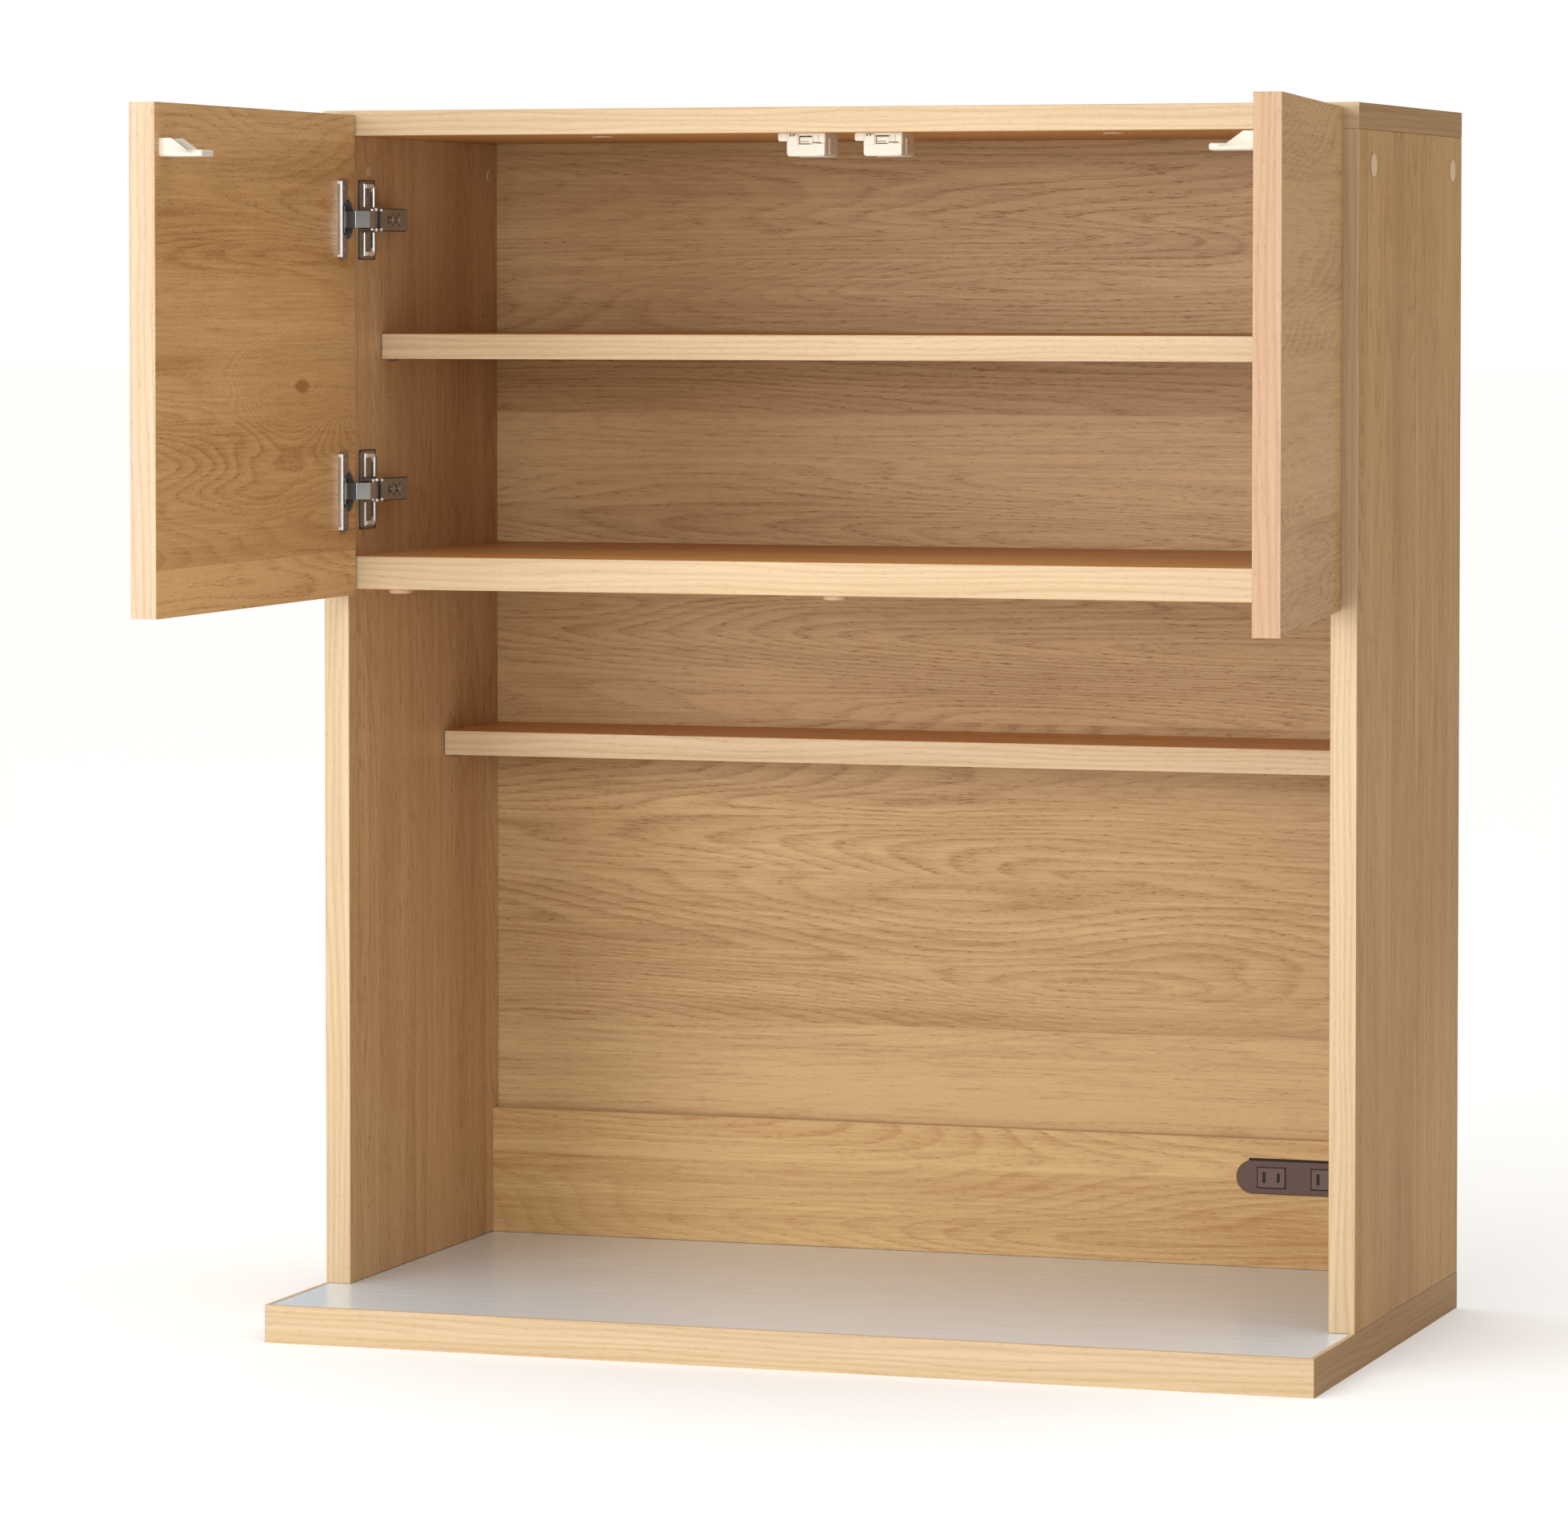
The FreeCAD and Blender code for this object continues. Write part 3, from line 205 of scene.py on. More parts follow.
# %% Group: oak_veneer
def build_oak_veneer():
    group, given, made = new_group(
        "oak_veneer",
        {"Vector": "vector", "Stave Width": 0.12, "Seed": 0.0, "Pale": (0.6, 0.42, 0.24, 1),
         "Deep": (0.4, 0.24, 0.11, 1), "Figure": 1.0, "Pores": 1.0, "Knot": 0.0},
        {"Color": "Color", "Roughness": "Float", "Height": "Float"})
    axes = put(group, "SeparateXYZ", {"Vector": given["Vector"]}).outputs
    wander = stretched_noise(group, given["Vector"], (1.1, 0.6, 0.0), 1.0)
    across = calc(group, "ADD", calc(group, "DIVIDE", axes["Y"], given["Stave Width"]), given["Seed"])
    across = calc(group, "ADD", across, calc(group, "MULTIPLY", wander, 0.03))
    stave = calc(group, "FLOOR", across)
    luck = put(group, "TexWhiteNoise", {"W": calc(group, "ADD", stave, 3.7)}, noise_dimensions="1D").outputs
    step = put(group, "VectorMath", {0: luck["Color"], 1: (9.0, 5.0, 3.0)}, operation="MULTIPLY").outputs[0]
    spot = put(group, "VectorMath", {0: given["Vector"], 1: step}, operation="ADD").outputs[0]

    hill = stretched_noise(group, spot, (0.95, 8.5, 4.0), 1.6, 0.42, 0.25)
    ripple = stretched_noise(group, spot, (9.0, 60.0, 20.0), 2.0, 0.6)
    hill = calc(group, "ADD", hill, calc(group, "MULTIPLY", ripple, 0.009))
    hill = calc(group, "ADD", hill, given["Knot"])
    phase = calc(group, "FRACT", calc(group, "MULTIPLY", hill, 46.0))
    ring = put(group, "ValToRGB", {"Fac": phase})
    ring.color_ramp.elements[0].color = (0.75, 0.75, 0.75, 1)
    ring.color_ramp.elements[1].color = (0.6, 0.6, 0.6, 1)
    for place, value in ((0.1, 1.0), (0.3, 0.45), (0.75, 0.0), (0.92, 0.1)):
        ring.color_ramp.elements.new(place).color = (value, value, value, 1)
    ring = ring.outputs["Color"]

    patches = stretched_noise(group, spot, (1.6, 9.0, 4.0), 1.5)
    patches = put(group, "MapRange", {"Value": patches, "From Min": 0.38, "From Max": 0.62, "To Min": 0.3})
    ring = calc(group, "MULTIPLY", ring, patches.outputs[0])
    fibre = stretched_noise(group, spot, (7.0, 520.0, 80.0), 3.0, 0.65)
    streak = stretched_noise(group, spot, (1.3, 48.0, 8.0), 2.5, 0.6)
    cloud = stretched_noise(group, spot, (2.2, 7.0, 3.0), 2.0, 0.5)
    dash = stretched_noise(group, spot, (120.0, 1150.0, 200.0), 1.0, 0.5)
    dash = put(group, "MapRange", {"Value": dash, "From Min": 0.58, "From Max": 0.72}).outputs[0]
    dash = calc(group, "MULTIPLY", dash, calc(group, "MULTIPLY_ADD", ring, 0.75, 0.3))
    dash = calc(group, "MULTIPLY", dash, given["Pores"])

    fleck = stretched_noise(group, spot, (26.0, 300.0, 60.0), 2.0, 0.6, 0.6)
    fleck = put(group, "MapRange", {"Value": fleck, "From Min": 0.52, "From Max": 0.7}).outputs[0]

    amount = calc(group, "MULTIPLY", calc(group, "MULTIPLY", ring, 0.36), given["Figure"])
    amount = calc(group, "MULTIPLY_ADD", fleck, 0.22, amount)
    amount = calc(group, "MULTIPLY_ADD", calc(group, "SUBTRACT", fibre, 0.5), 0.95, amount)
    amount = calc(group, "MULTIPLY_ADD", calc(group, "SUBTRACT", streak, 0.5), 0.8, amount)
    amount = calc(group, "MULTIPLY_ADD", calc(group, "SUBTRACT", cloud, 0.5), 0.7, amount)
    amount = calc(group, "MULTIPLY_ADD", calc(group, "SUBTRACT", luck["Value"], 0.5), 0.36, amount)
    amount = calc(group, "MULTIPLY_ADD", dash, 0.85, amount)
    amount = calc(group, "ADD", amount, 0.2)
    heart = put(group, "MapRange", {"Value": given["Knot"], "From Min": 0.33, "From Max": 0.339}).outputs[0]
    amount = calc(group, "MULTIPLY_ADD", heart, 1.1, amount)
    colour = mix(group, amount, given["Pale"], given["Deep"])

    edge = calc(group, "ABSOLUTE", calc(group, "SUBTRACT", calc(group, "FRACT", across), 0.5))
    joint = put(group, "MapRange", {"Value": edge, "From Min": 0.493, "From Max": 0.499}).outputs[0]
    colour = mix(group, calc(group, "MULTIPLY", joint, 0.35), colour, given["Pale"])
    group.links.new(colour, made["Color"])
    rough = calc(group, "MULTIPLY_ADD", dash, 0.25, calc(group, "MULTIPLY_ADD", fibre, 0.12, 0.36))
    group.links.new(rough, made["Roughness"])
    height = calc(group, "MULTIPLY_ADD", dash, -1.0, calc(group, "MULTIPLY", fibre, 0.35))
    height = calc(group, "MULTIPLY_ADD", ring, -0.25, height)
    group.links.new(height, made["Height"])
    return group


oak_veneer = build_oak_veneer()
print("group", oak_veneer.name, len(oak_veneer.nodes), "nodes")

# %% [markdown]
# Edge bands. The front edges carry a strip of quarter-cut oak: paler, with straight soft lines
# that wander slightly. The lines are a sawtooth across the strip, bent by a slow noise.

# %% Group: edge_band
def build_edge_band():
    group, given, made = new_group(
        "edge_band",
        {"Vector": "vector", "Line Spacing": 0.006, "Seed": 0.0, "Pale": (0.75, 0.56, 0.34, 1),
         "Deep": (0.6, 0.4, 0.2, 1)},
        {"Color": "Color", "Roughness": "Float", "Height": "Float"})
    shift = put(group, "CombineXYZ", {"X": calc(group, "MULTIPLY", given["Seed"], 3.1),
                                      "Y": given["Seed"], "Z": given["Seed"]}).outputs[0]
    spot = put(group, "VectorMath", {0: given["Vector"], 1: shift}, operation="ADD").outputs[0]
    axes = put(group, "SeparateXYZ", {"Vector": spot}).outputs
    bend = stretched_noise(group, spot, (3.2, 30.0, 30.0), 2.0, 0.5)
    lines = calc(group, "DIVIDE", calc(group, "ADD", axes["Y"], axes["Z"]), given["Line Spacing"])
    lines = calc(group, "FRACT", calc(group, "MULTIPLY_ADD", bend, 4.0, lines))
    line = put(group, "ValToRGB", {"Fac": lines})
    line.color_ramp.elements[0].color = (0.35, 0.35, 0.35, 1)
    line.color_ramp.elements[1].color = (0.35, 0.35, 0.35, 1)
    for place, value in ((0.12, 0.8), (0.3, 0.35), (0.7, 0.0)):
        line.color_ramp.elements.new(place).color = (value, value, value, 1)
    fibre = stretched_noise(group, spot, (9.0, 700.0, 700.0), 3.0, 0.6)
    cloud = stretched_noise(group, spot, (2.0, 60.0, 60.0), 2.0, 0.5)
    dash = stretched_noise(group, spot, (130.0, 1300.0, 1300.0), 1.0, 0.5)
    dash = put(group, "MapRange", {"Value": dash, "From Min": 0.6, "From Max": 0.74}).outputs[0]
    amount = calc(group, "MULTIPLY", line.outputs["Color"], 0.5)
    amount = calc(group, "MULTIPLY_ADD", calc(group, "SUBTRACT", fibre, 0.5), 0.6, amount)
    amount = calc(group, "MULTIPLY_ADD", calc(group, "SUBTRACT", cloud, 0.5), 0.9, amount)
    amount = calc(group, "MULTIPLY_ADD", dash, 0.35, amount)
    colour = mix(group, calc(group, "ADD", amount, 0.12), given["Pale"], given["Deep"])
    group.links.new(colour, made["Color"])
    group.links.new(calc(group, "MULTIPLY_ADD", dash, 0.2, 0.4), made["Roughness"])
    group.links.new(calc(group, "MULTIPLY_ADD", dash, -1.0, fibre), made["Height"])
    return group


edge_band = build_edge_band()
print("group", edge_band.name, len(edge_band.nodes), "nodes")

# %% [markdown]
# One material for each board, because the grain runs its own way on each: upright on the sides,
# level on the back and the doors. A Mapping node turns object coordinates so that X runs along
# the grain and Y across it. The open doors are turned back by their opening angle first.

# %% Wood materials
def turning(*turns):
    """The matrix of several turns about named axes, first to last."""
    matrix = Matrix.Identity(3)
    for axis, degrees in turns:
        matrix = Matrix.Rotation(math.radians(degrees), 3, axis) @ matrix
    return matrix


def turned(*turns):
    """The same turns as the rotation of a Mapping node."""
    return tuple(turning(*turns).to_euler("XYZ"))


LEVEL_BACK = turned(("X", -90))
UPRIGHT_SIDE = turned(("Y", 90))
FLAT_SHELF = turned()
UPRIGHT_FRONT = turned(("Z", 90), ("Y", 90))
LEFT_OPEN = 88.3
RIGHT_OPEN = 98.1
LEFT_DOOR = turned(("Z", LEFT_OPEN), ("X", -90))
RIGHT_DOOR = turned(("Z", -RIGHT_OPEN), ("X", -90))
LEFT_DOOR_EDGE = turned(("Z", LEFT_OPEN), ("Y", 90))
RIGHT_DOOR_EDGE = turned(("Z", -RIGHT_OPEN), ("Y", 90))


def wood(name, group, rotation, bump=0.25, knot_at=None, shine=0.3, **values):
    """A satin-lacquered wood: the group's pattern on turned object coordinates."""
    material = bpy.data.materials.new(name)
    material.use_nodes = True
    tree = material.node_tree
    shader = tree.nodes["Principled BSDF"]
    place = put(tree, "Mapping", {"Vector": put(tree, "TexCoord").outputs["Object"], "Rotation": rotation})
    grain = put(tree, "Group", node_tree=group)
    tree.links.new(place.outputs[0], grain.inputs["Vector"])
    for label, value in values.items():
        grain.inputs[label.replace("_", " ").title()].default_value = value
    if knot_at:
        away = put(tree, "VectorMath", {0: place.outputs[0], 1: knot_at}, operation="SUBTRACT")
        away = put(tree, "VectorMath", {0: away.outputs[0], 1: (14.0, 38.0, 0.0)}, operation="MULTIPLY")
        away = put(tree, "VectorMath", {0: away.outputs[0]}, operation="LENGTH")
        bump_up = put(tree, "MapRange", {"Value": away.outputs["Value"], "From Max": 2.6, "To Min": 0.34,
                                         "To Max": 0.0}, interpolation_type="SMOOTHSTEP")
        tree.links.new(bump_up.outputs[0], grain.inputs["Knot"])
    tree.links.new(grain.outputs["Color"], shader.inputs["Base Color"])
    tree.links.new(grain.outputs["Roughness"], shader.inputs["Roughness"])
    relief = put(tree, "Bump", {"Height": grain.outputs["Height"], "Strength": bump, "Distance": 0.0004})
    tree.links.new(relief.outputs[0], shader.inputs["Normal"])
    shader.inputs["Specular IOR Level"].default_value = shine
    return material


print("level back turn", tuple(round(angle, 3) for angle in LEVEL_BACK))

# %% [markdown]
# The same oak differs a little from board to board, and light from several sides makes it more so:
# the service board is yellower, the shelves are warmer, and the right side panel and the right door
# are deeper, partly their own tone and partly painted shade for faces turned away from the key. The
# left door has one knot, which is a small steep hill in the ring pattern.

# %% Oak and band colours
OAK_PALE = srgb(206, 164, 112)
OAK_DEEP = srgb(156, 110, 62)
BACK_PALE = srgb(200, 164, 116)
BACK_DEEP = srgb(152, 112, 68)
SIDE_PALE = srgb(206, 170, 124)
SIDE_DEEP = srgb(160, 116, 74)
SHELF_PALE = srgb(216, 162, 98)
SHELF_DEEP = srgb(166, 110, 52)
# Partly painted shade: the right side panel and right door take these deeper colours.
OUTER_SHADED_PALE = srgb(184, 146, 98)
OUTER_SHADED_DEEP = srgb(140, 100, 56)
BAND_PALE = srgb(206, 181, 146)
BAND_DEEP = srgb(176, 142, 98)
KNOT_PLACE = Vector((-0.411, -0.130, 0.798))
knot = tuple(turning(("Z", LEFT_OPEN), ("X", -90)) @ KNOT_PLACE)
oak = {
    "back": wood("oak_back", oak_veneer, LEVEL_BACK, stave_width=0.135, seed=0.3, pale=BACK_PALE,
                 deep=BACK_DEEP),
    "service": wood("oak_service_board", oak_veneer, LEVEL_BACK, stave_width=0.4, seed=2.72,
                    pale=srgb(212, 176, 124), deep=srgb(170, 126, 74)),
    "sides": wood("oak_sides", oak_veneer, UPRIGHT_SIDE, stave_width=0.085, seed=5.2, pale=SIDE_PALE,
                  deep=SIDE_DEEP, figure=0.6),
    "right_side": wood("oak_right_side_shaded", oak_veneer, UPRIGHT_SIDE, shine=0.03, stave_width=0.085, seed=8.6,
                       pale=OUTER_SHADED_PALE, deep=OUTER_SHADED_DEEP, figure=0.6),
    "shelves": wood("oak_shelves", oak_veneer, FLAT_SHELF, stave_width=0.11, seed=7.4, pale=SHELF_PALE,
                    deep=SHELF_DEEP, figure=0.7),
    "left_door": wood("oak_left_door", oak_veneer, LEFT_DOOR, knot_at=knot, stave_width=0.115, seed=11.27,
                      pale=OAK_PALE, deep=OAK_DEEP),
    "right_door": wood("oak_right_door_shaded", oak_veneer, RIGHT_DOOR, shine=0.03, stave_width=0.13, seed=14.6,
                       pale=OUTER_SHADED_PALE, deep=OUTER_SHADED_DEEP),
}
band = {
    "level": wood("band_level", edge_band, LEVEL_BACK, pale=BAND_PALE, deep=BAND_DEEP, seed=0.37),
    "upright": wood("band_upright", edge_band, UPRIGHT_FRONT, pale=BAND_PALE, deep=BAND_DEEP, seed=1.21),
    # Painted shade: the end faces that look left and right get a darker band than the fronts.
    "shaded_end": wood("band_end_painted_shade", edge_band, turned(("Z", 90), ("X", -90)), shine=0.03,
                     pale=srgb(164, 130, 90), deep=srgb(134, 100, 62), seed=2.9),
    "left_door": wood("band_left_door", edge_band, LEFT_DOOR_EDGE, pale=srgb(198, 174, 145),
                      deep=srgb(170, 138, 102), seed=4.4),
    "right_door": wood("band_right_door", edge_band, RIGHT_DOOR_EDGE, pale=srgb(188, 154, 122),
                       deep=srgb(162, 124, 88), seed=6.3),
}
print("woods", sorted(oak), "bands", sorted(band))

# %% [markdown]
# A board on the real object is a veneered core with its front edge banded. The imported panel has
# the right holes and grooves, so a copy of it is cleaned up: its loose triangles are merged, flat
# faces are joined, and the long outer edges get the small round that sandpaper leaves. Faces that
# look out of the banded edges take the band's material.

# %% Boards from cleaned copies
EASE = 0.0007


def cleaned(node):
    """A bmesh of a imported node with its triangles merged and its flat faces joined."""
    shape = bmesh.new()
    shape.from_mesh(nodes[node].data)
    bmesh.ops.remove_doubles(shape, verts=shape.verts, dist=1e-6)
    bmesh.ops.dissolve_limit(shape, angle_limit=math.radians(0.5), verts=shape.verts, edges=shape.edges)
    return shape


def ease(shape, width, shortest=0.0, segments=2, sharper=40):
    """Bevel the outward edges that are sharp enough and long enough."""
    edges = []
    for edge in shape.edges:
        if len(edge.link_faces) != 2 or edge.calc_length() < shortest:
            continue
        if math.degrees(edge.calc_face_angle(0)) > sharper and edge.is_convex:
            edges.append(edge)
    bmesh.ops.bevel(shape, geom=edges, affect="EDGES", offset=width, segments=segments, profile=0.5,
                    material=-1, clamp_overlap=True)


def finish_piece(shape, name, materials, body, replaced, sharp=35):
    """Make the bmesh an object that rides on its body and stands for its nodes."""
    mesh = bpy.data.meshes.new(name)
    shape.normal_update()
    shape.to_mesh(mesh)
    shape.free()
    for material in materials:
        mesh.materials.append(material)
    mesh.shade_smooth()
    mesh.set_sharp_from_angle(angle=math.radians(sharp))
    piece = bpy.data.objects.new(name, mesh)
    scene.collection.objects.link(piece)
    even = piece.modifiers.new("even_normals", "WEIGHTED_NORMAL")
    even.keep_sharp = True
    even.weight = 100
    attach(piece, body)
    if replaced:
        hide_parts(*replaced)
    return piece


def board(node, face, edge, outward, body="cabinet"):
    """A board whose faces that look along one of the outward directions are banded."""
    shape = cleaned(node)
    ease(shape, EASE, shortest=0.1)
    shape.normal_update()
    reach = [max(v.co.dot(Vector(way)) for v in shape.verts) for way in outward]
    for polygon in shape.faces:
        for way, limit in zip(outward, reach):
            flat = polygon.normal.dot(Vector(way)) > 0.6
            if flat and polygon.calc_center_median().dot(Vector(way)) > limit - 0.002:
                polygon.material_index = 1
    return finish_piece(shape, node + "_board", [face, edge], body, [node])


FRONT = (0, -1, 0)
board("side_panel_left", oak["sides"], band["upright"], [FRONT])
board("side_panel_right", oak["right_side"], band["upright"], [FRONT])
board("compartment_floor", oak["shelves"], band["level"], [FRONT])
board("shelf_upper", oak["shelves"], band["level"], [FRONT])
board("shelf_lower", oak["shelves"], band["level"], [FRONT])
board("back_panel", oak["back"], oak["back"], [])
board("service_board", oak["service"], band["level"], [(0, 0, 1)])
top = board("top_panel", oak["shelves"], band["level"], [FRONT, (-1, 0, 0), (1, 0, 0)])
# The top's end faces take the darker end band, painted shade.
top.data.materials.append(band["shaded_end"])
for polygon in top.data.polygons:
    if abs(polygon.normal.x) > 0.6 and polygon.material_index == 1:
        polygon.material_index = 2
board("counter_edging", band["level"], band["shaded_end"], [(-1, 0, 0), (1, 0, 0)])

# %% [markdown]
# The doors are banded on all four edges. Their directions follow the open doors: out of the free
# edge, out of the hinge edge, up and down.

# %% Doors
def door(side, angle):
    turn = math.radians(-angle if side == "left" else 180 + angle)
    free = (math.cos(turn), math.sin(turn), 0)
    ways = [free, tuple(-c for c in free), (0, 0, 1), (0, 0, -1)]
    body = side + "_door"
    return board("door_" + side, oak[body], band[body], ways, body)


door("left", LEFT_OPEN)
door("right", RIGHT_OPEN)
print("doors open", LEFT_OPEN, RIGHT_OPEN)

# %% [markdown]
# Metals and plastics. The counter's steel is brushed along its length, so its scratches are a
# noise stretched a thousand to one. The hinges are bright nickel, the latches warm white plastic
# and the outlet strip a matte brown one with a fine texture.

# %% Metal and plastic materials
def metal(name, colour, rough, scratch, strength, along=(2.0, 900.0, 900.0), metallic=1.0):
    material = bpy.data.materials.new(name)
    material.use_nodes = True
    tree = material.node_tree
    shader = tree.nodes["Principled BSDF"]
    shader.inputs["Metallic"].default_value = metallic
    where = put(tree, "TexCoord").outputs["Object"]
    hair = stretched_noise(tree, where, along, 3.0, 0.7)
    smudge = stretched_noise(tree, where, (9.0, 9.0, 9.0), 2.0, 0.5)
    tone = put(tree, "MapRange", {"Value": hair, "From Min": 0.3, "From Max": 0.7}).outputs[0]
    dark = tuple(c * (1 - scratch) for c in colour[:3]) + (1,)
    tree.links.new(mix(tree, tone, dark, colour), shader.inputs["Base Color"])
    rough_now = calc(tree, "MULTIPLY_ADD", calc(tree, "SUBTRACT", smudge, 0.5), 0.04, rough)
    rough_now = calc(tree, "MULTIPLY_ADD", calc(tree, "SUBTRACT", hair, 0.5), scratch, rough_now)
    tree.links.new(rough_now, shader.inputs["Roughness"])
    relief = put(tree, "Bump", {"Height": hair, "Strength": strength, "Distance": 0.0001})
    tree.links.new(relief.outputs[0], shader.inputs["Normal"])
    return material


def plastic(name, colour, rough, speckle, strength):
    material = bpy.data.materials.new(name)
    material.use_nodes = True
    tree = material.node_tree
    shader = tree.nodes["Principled BSDF"]
    where = put(tree, "TexCoord").outputs["Object"]
    grain = stretched_noise(tree, where, (speckle, speckle, speckle), 2.0, 0.6)
    age = stretched_noise(tree, where, (30.0, 30.0, 30.0), 2.0, 0.5)
    dull = tuple(c * 0.86 for c in colour[:3]) + (1,)
    tree.links.new(mix(tree, age, colour, dull), shader.inputs["Base Color"])
    tree.links.new(calc(tree, "MULTIPLY_ADD", grain, 0.15, rough), shader.inputs["Roughness"])
    relief = put(tree, "Bump", {"Height": grain, "Strength": strength, "Distance": 0.0001})
    tree.links.new(relief.outputs[0], shader.inputs["Normal"])
    return material


print("helpers", metal.__name__, plastic.__name__)

# %% [markdown]
# The finishes themselves. The rims and knuckles of a hinge get a near-white copy of its nickel, a
# painted highlight, and the gaps between its pressings a near-black copy, painted shade, so the
# nickel comes as three materials. Parts that keep their imported shape are dressed straight away.

# %% Finishes
steel = metal("brushed_steel", srgb(232, 243, 250), 0.25, 0.14, 0.06, metallic=0.2)
steel.node_tree.nodes["Principled BSDF"].inputs["Specular IOR Level"].default_value = 0.4
nickel = metal("bright_nickel", srgb(156, 154, 150), 0.15, 0.03, 0.02, (60.0, 60.0, 60.0), metallic=0.75)
# Painted highlight: a near-white, less metallic copy of the nickel for rims, lips and knuckles.
rim = metal("rim_nickel_painted_highlight", srgb(246, 245, 242), 0.18, 0.02, 0.02, (60.0, 60.0, 60.0), metallic=0.45)
# Painted shade: a near-black copy of the nickel for the hinge's gaps, slots and outlines.
shade = metal("hinge_shadow_steel", srgb(48, 42, 36), 0.35, 0.1, 0.05, (60.0, 60.0, 60.0), metallic=0.6)
zinc = metal("zinc_screw_steel", srgb(200, 198, 192), 0.28, 0.08, 0.05, (300.0, 300.0, 300.0))
brass = metal("contact_brass", srgb(200, 165, 100), 0.25, 0.06, 0.05, (300.0, 300.0, 300.0))
white = plastic("latch_white", srgb(222, 215, 199), 0.32, 900.0, 0.1)
brown = plastic("outlet_brown", srgb(88, 63, 52), 0.48, 1500.0, 0.35)
brown_face = plastic("socket_brown", srgb(98, 73, 62), 0.42, 1500.0, 0.25)
# Painted shade: a near-black brown for the shadow in the outlet's gaps.
painted_shade_brown = plastic("painted_shade_brown", srgb(34, 22, 18), 0.7, 900.0, 0.1)
# Painted shade: a dark tan for the shadow in the latch's slots and steps.
painted_shade_tan = plastic("painted_shade_tan", srgb(96, 80, 62), 0.7, 900.0, 0.1)
tan = plastic("cap_tan", srgb(206, 172, 136), 0.5, 700.0, 0.25)
core = plastic("chipboard_core", srgb(176, 150, 116), 0.75, 260.0, 0.8)


def dress(node, material):
    """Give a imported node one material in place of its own."""
    slots = nodes[node].data.materials
    slots.clear()
    slots.append(material)


dress("counter_steel_sheet", steel)
for name in ("counter_core", "back_rails", "dowels"):
    dress(name, core)
dress("outlet_contacts", brass)
for name in ("outlet_housing", "outlet_gland"):
    dress(name, brown)
print("finishes", len(bpy.data.materials))

# %% [markdown]
# Small parts. Pressed and moulded parts have no truly sharp edge, and it is the bright line along
# a rounded edge that makes metal read as metal. Each one is a cleaned copy with small bevels.

# %% Hinges, latches, caps and outlet
def small(node, material, width, body="cabinet"):
    """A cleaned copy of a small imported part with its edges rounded."""
    shape = cleaned(node)
    ease(shape, width)
    return finish_piece(shape, node + "_finished", [material], body, [node])


for side in ("left", "right"):
    door_body = side + "_door"
    small("hinge_cups_" + side, nickel, 0.0005, door_body)
    small("cup_pins_" + side, nickel, 0.0002, door_body)
    small("cup_screws_" + side, zinc, 0.00015, door_body)
    small("hinge_links_" + side, nickel, 0.0003, side + "_link")
    for kind in ("arm_pins_", "hinge_arms_", "mounting_plates_"):
        small(kind + side, nickel, 0.0003)
    for kind in ("arm_screws_", "plate_screws_"):
        small(kind + side, zinc, 0.00015)
    small("strike_" + side, white, 0.0004, door_body)
    small("strike_screws_" + side, zinc, 0.00015, door_body)
    small("latch_body_" + side, white, 0.0005)
    small("latch_lever_" + side, white, 0.0004, side + "_lever")
    small("latch_pin_" + side, zinc, 0.0002)
small("latch_screws", zinc, 0.00015)
for name in ("side_caps_outer", "side_caps_inner", "floor_caps", "top_caps"):
    small(name, tan, 0.0002)
for name in ("shelf_pins_upper", "shelf_pins_lower"):
    small(name, nickel, 0.0003)
small("outlet_cover", brown, 0.0003)
small("outlet_sockets", brown_face, 0.0003)

# %% [markdown]
# Fine detail. Pressed ribs, raised rims, painted shadow in the gaps, and knuckles are small blocks
# and balls with rounded edges, in millimetres. They stand on the imported parts and ride on the same
# bodies. A dark block that is let in behind a raised part is painted shade for the gap there.

# %% Helper for small blocks and balls
def detail(name, material, slot, blocks, body="cabinet", width=0.5, balls=(), flip=1):
    """Rounded blocks given by their low and high corners in mm, and balls by centre and radius."""
    shape = bmesh.new()
    for x0, x1, y0, y1, z0, z1 in blocks:
        x0, x1 = sorted((flip * x0, flip * x1))
        middle = Vector((x0 + x1, y0 + y1, z0 + z1)) / 2000
        size = Vector((x1 - x0, y1 - y0, z1 - z0)) / 1000
        place = Matrix.Translation(middle) @ Matrix.Diagonal(size.to_4d())
        cube = bmesh.ops.create_cube(shape, size=1, matrix=place)
        edges = list({edge for vert in cube["verts"] for edge in vert.link_edges})
        bmesh.ops.bevel(shape, geom=edges, affect="EDGES", offset=min(width / 1000, min(size) * 0.45),
                        segments=2, profile=0.5, material=-1)
    for x, y, z, radius in balls:
        bmesh.ops.create_uvsphere(shape, u_segments=16, v_segments=10, radius=radius / 1000,
                                  matrix=Matrix.Translation((flip * x / 1000, y / 1000, z / 1000)))
    return finish_piece(shape, name, [material], body, [])


# %% [markdown]
# The hinges, first their cups. Each cup's flange ends in a raised lip toward the door's free edge,
# made bright with the painted highlight nickel. The lip has to stand square to the open door, so it
# is built on the door's own directions: out of the inner face, and out of the free edge.

# %% Flange lips
HINGE_HEIGHTS = (707.5, 937.0)
LIP_SIZE = (0.0042, 0.0014, 0.064)
LIP_DROP = 0.0002
LIP_ROUND = 0.0004


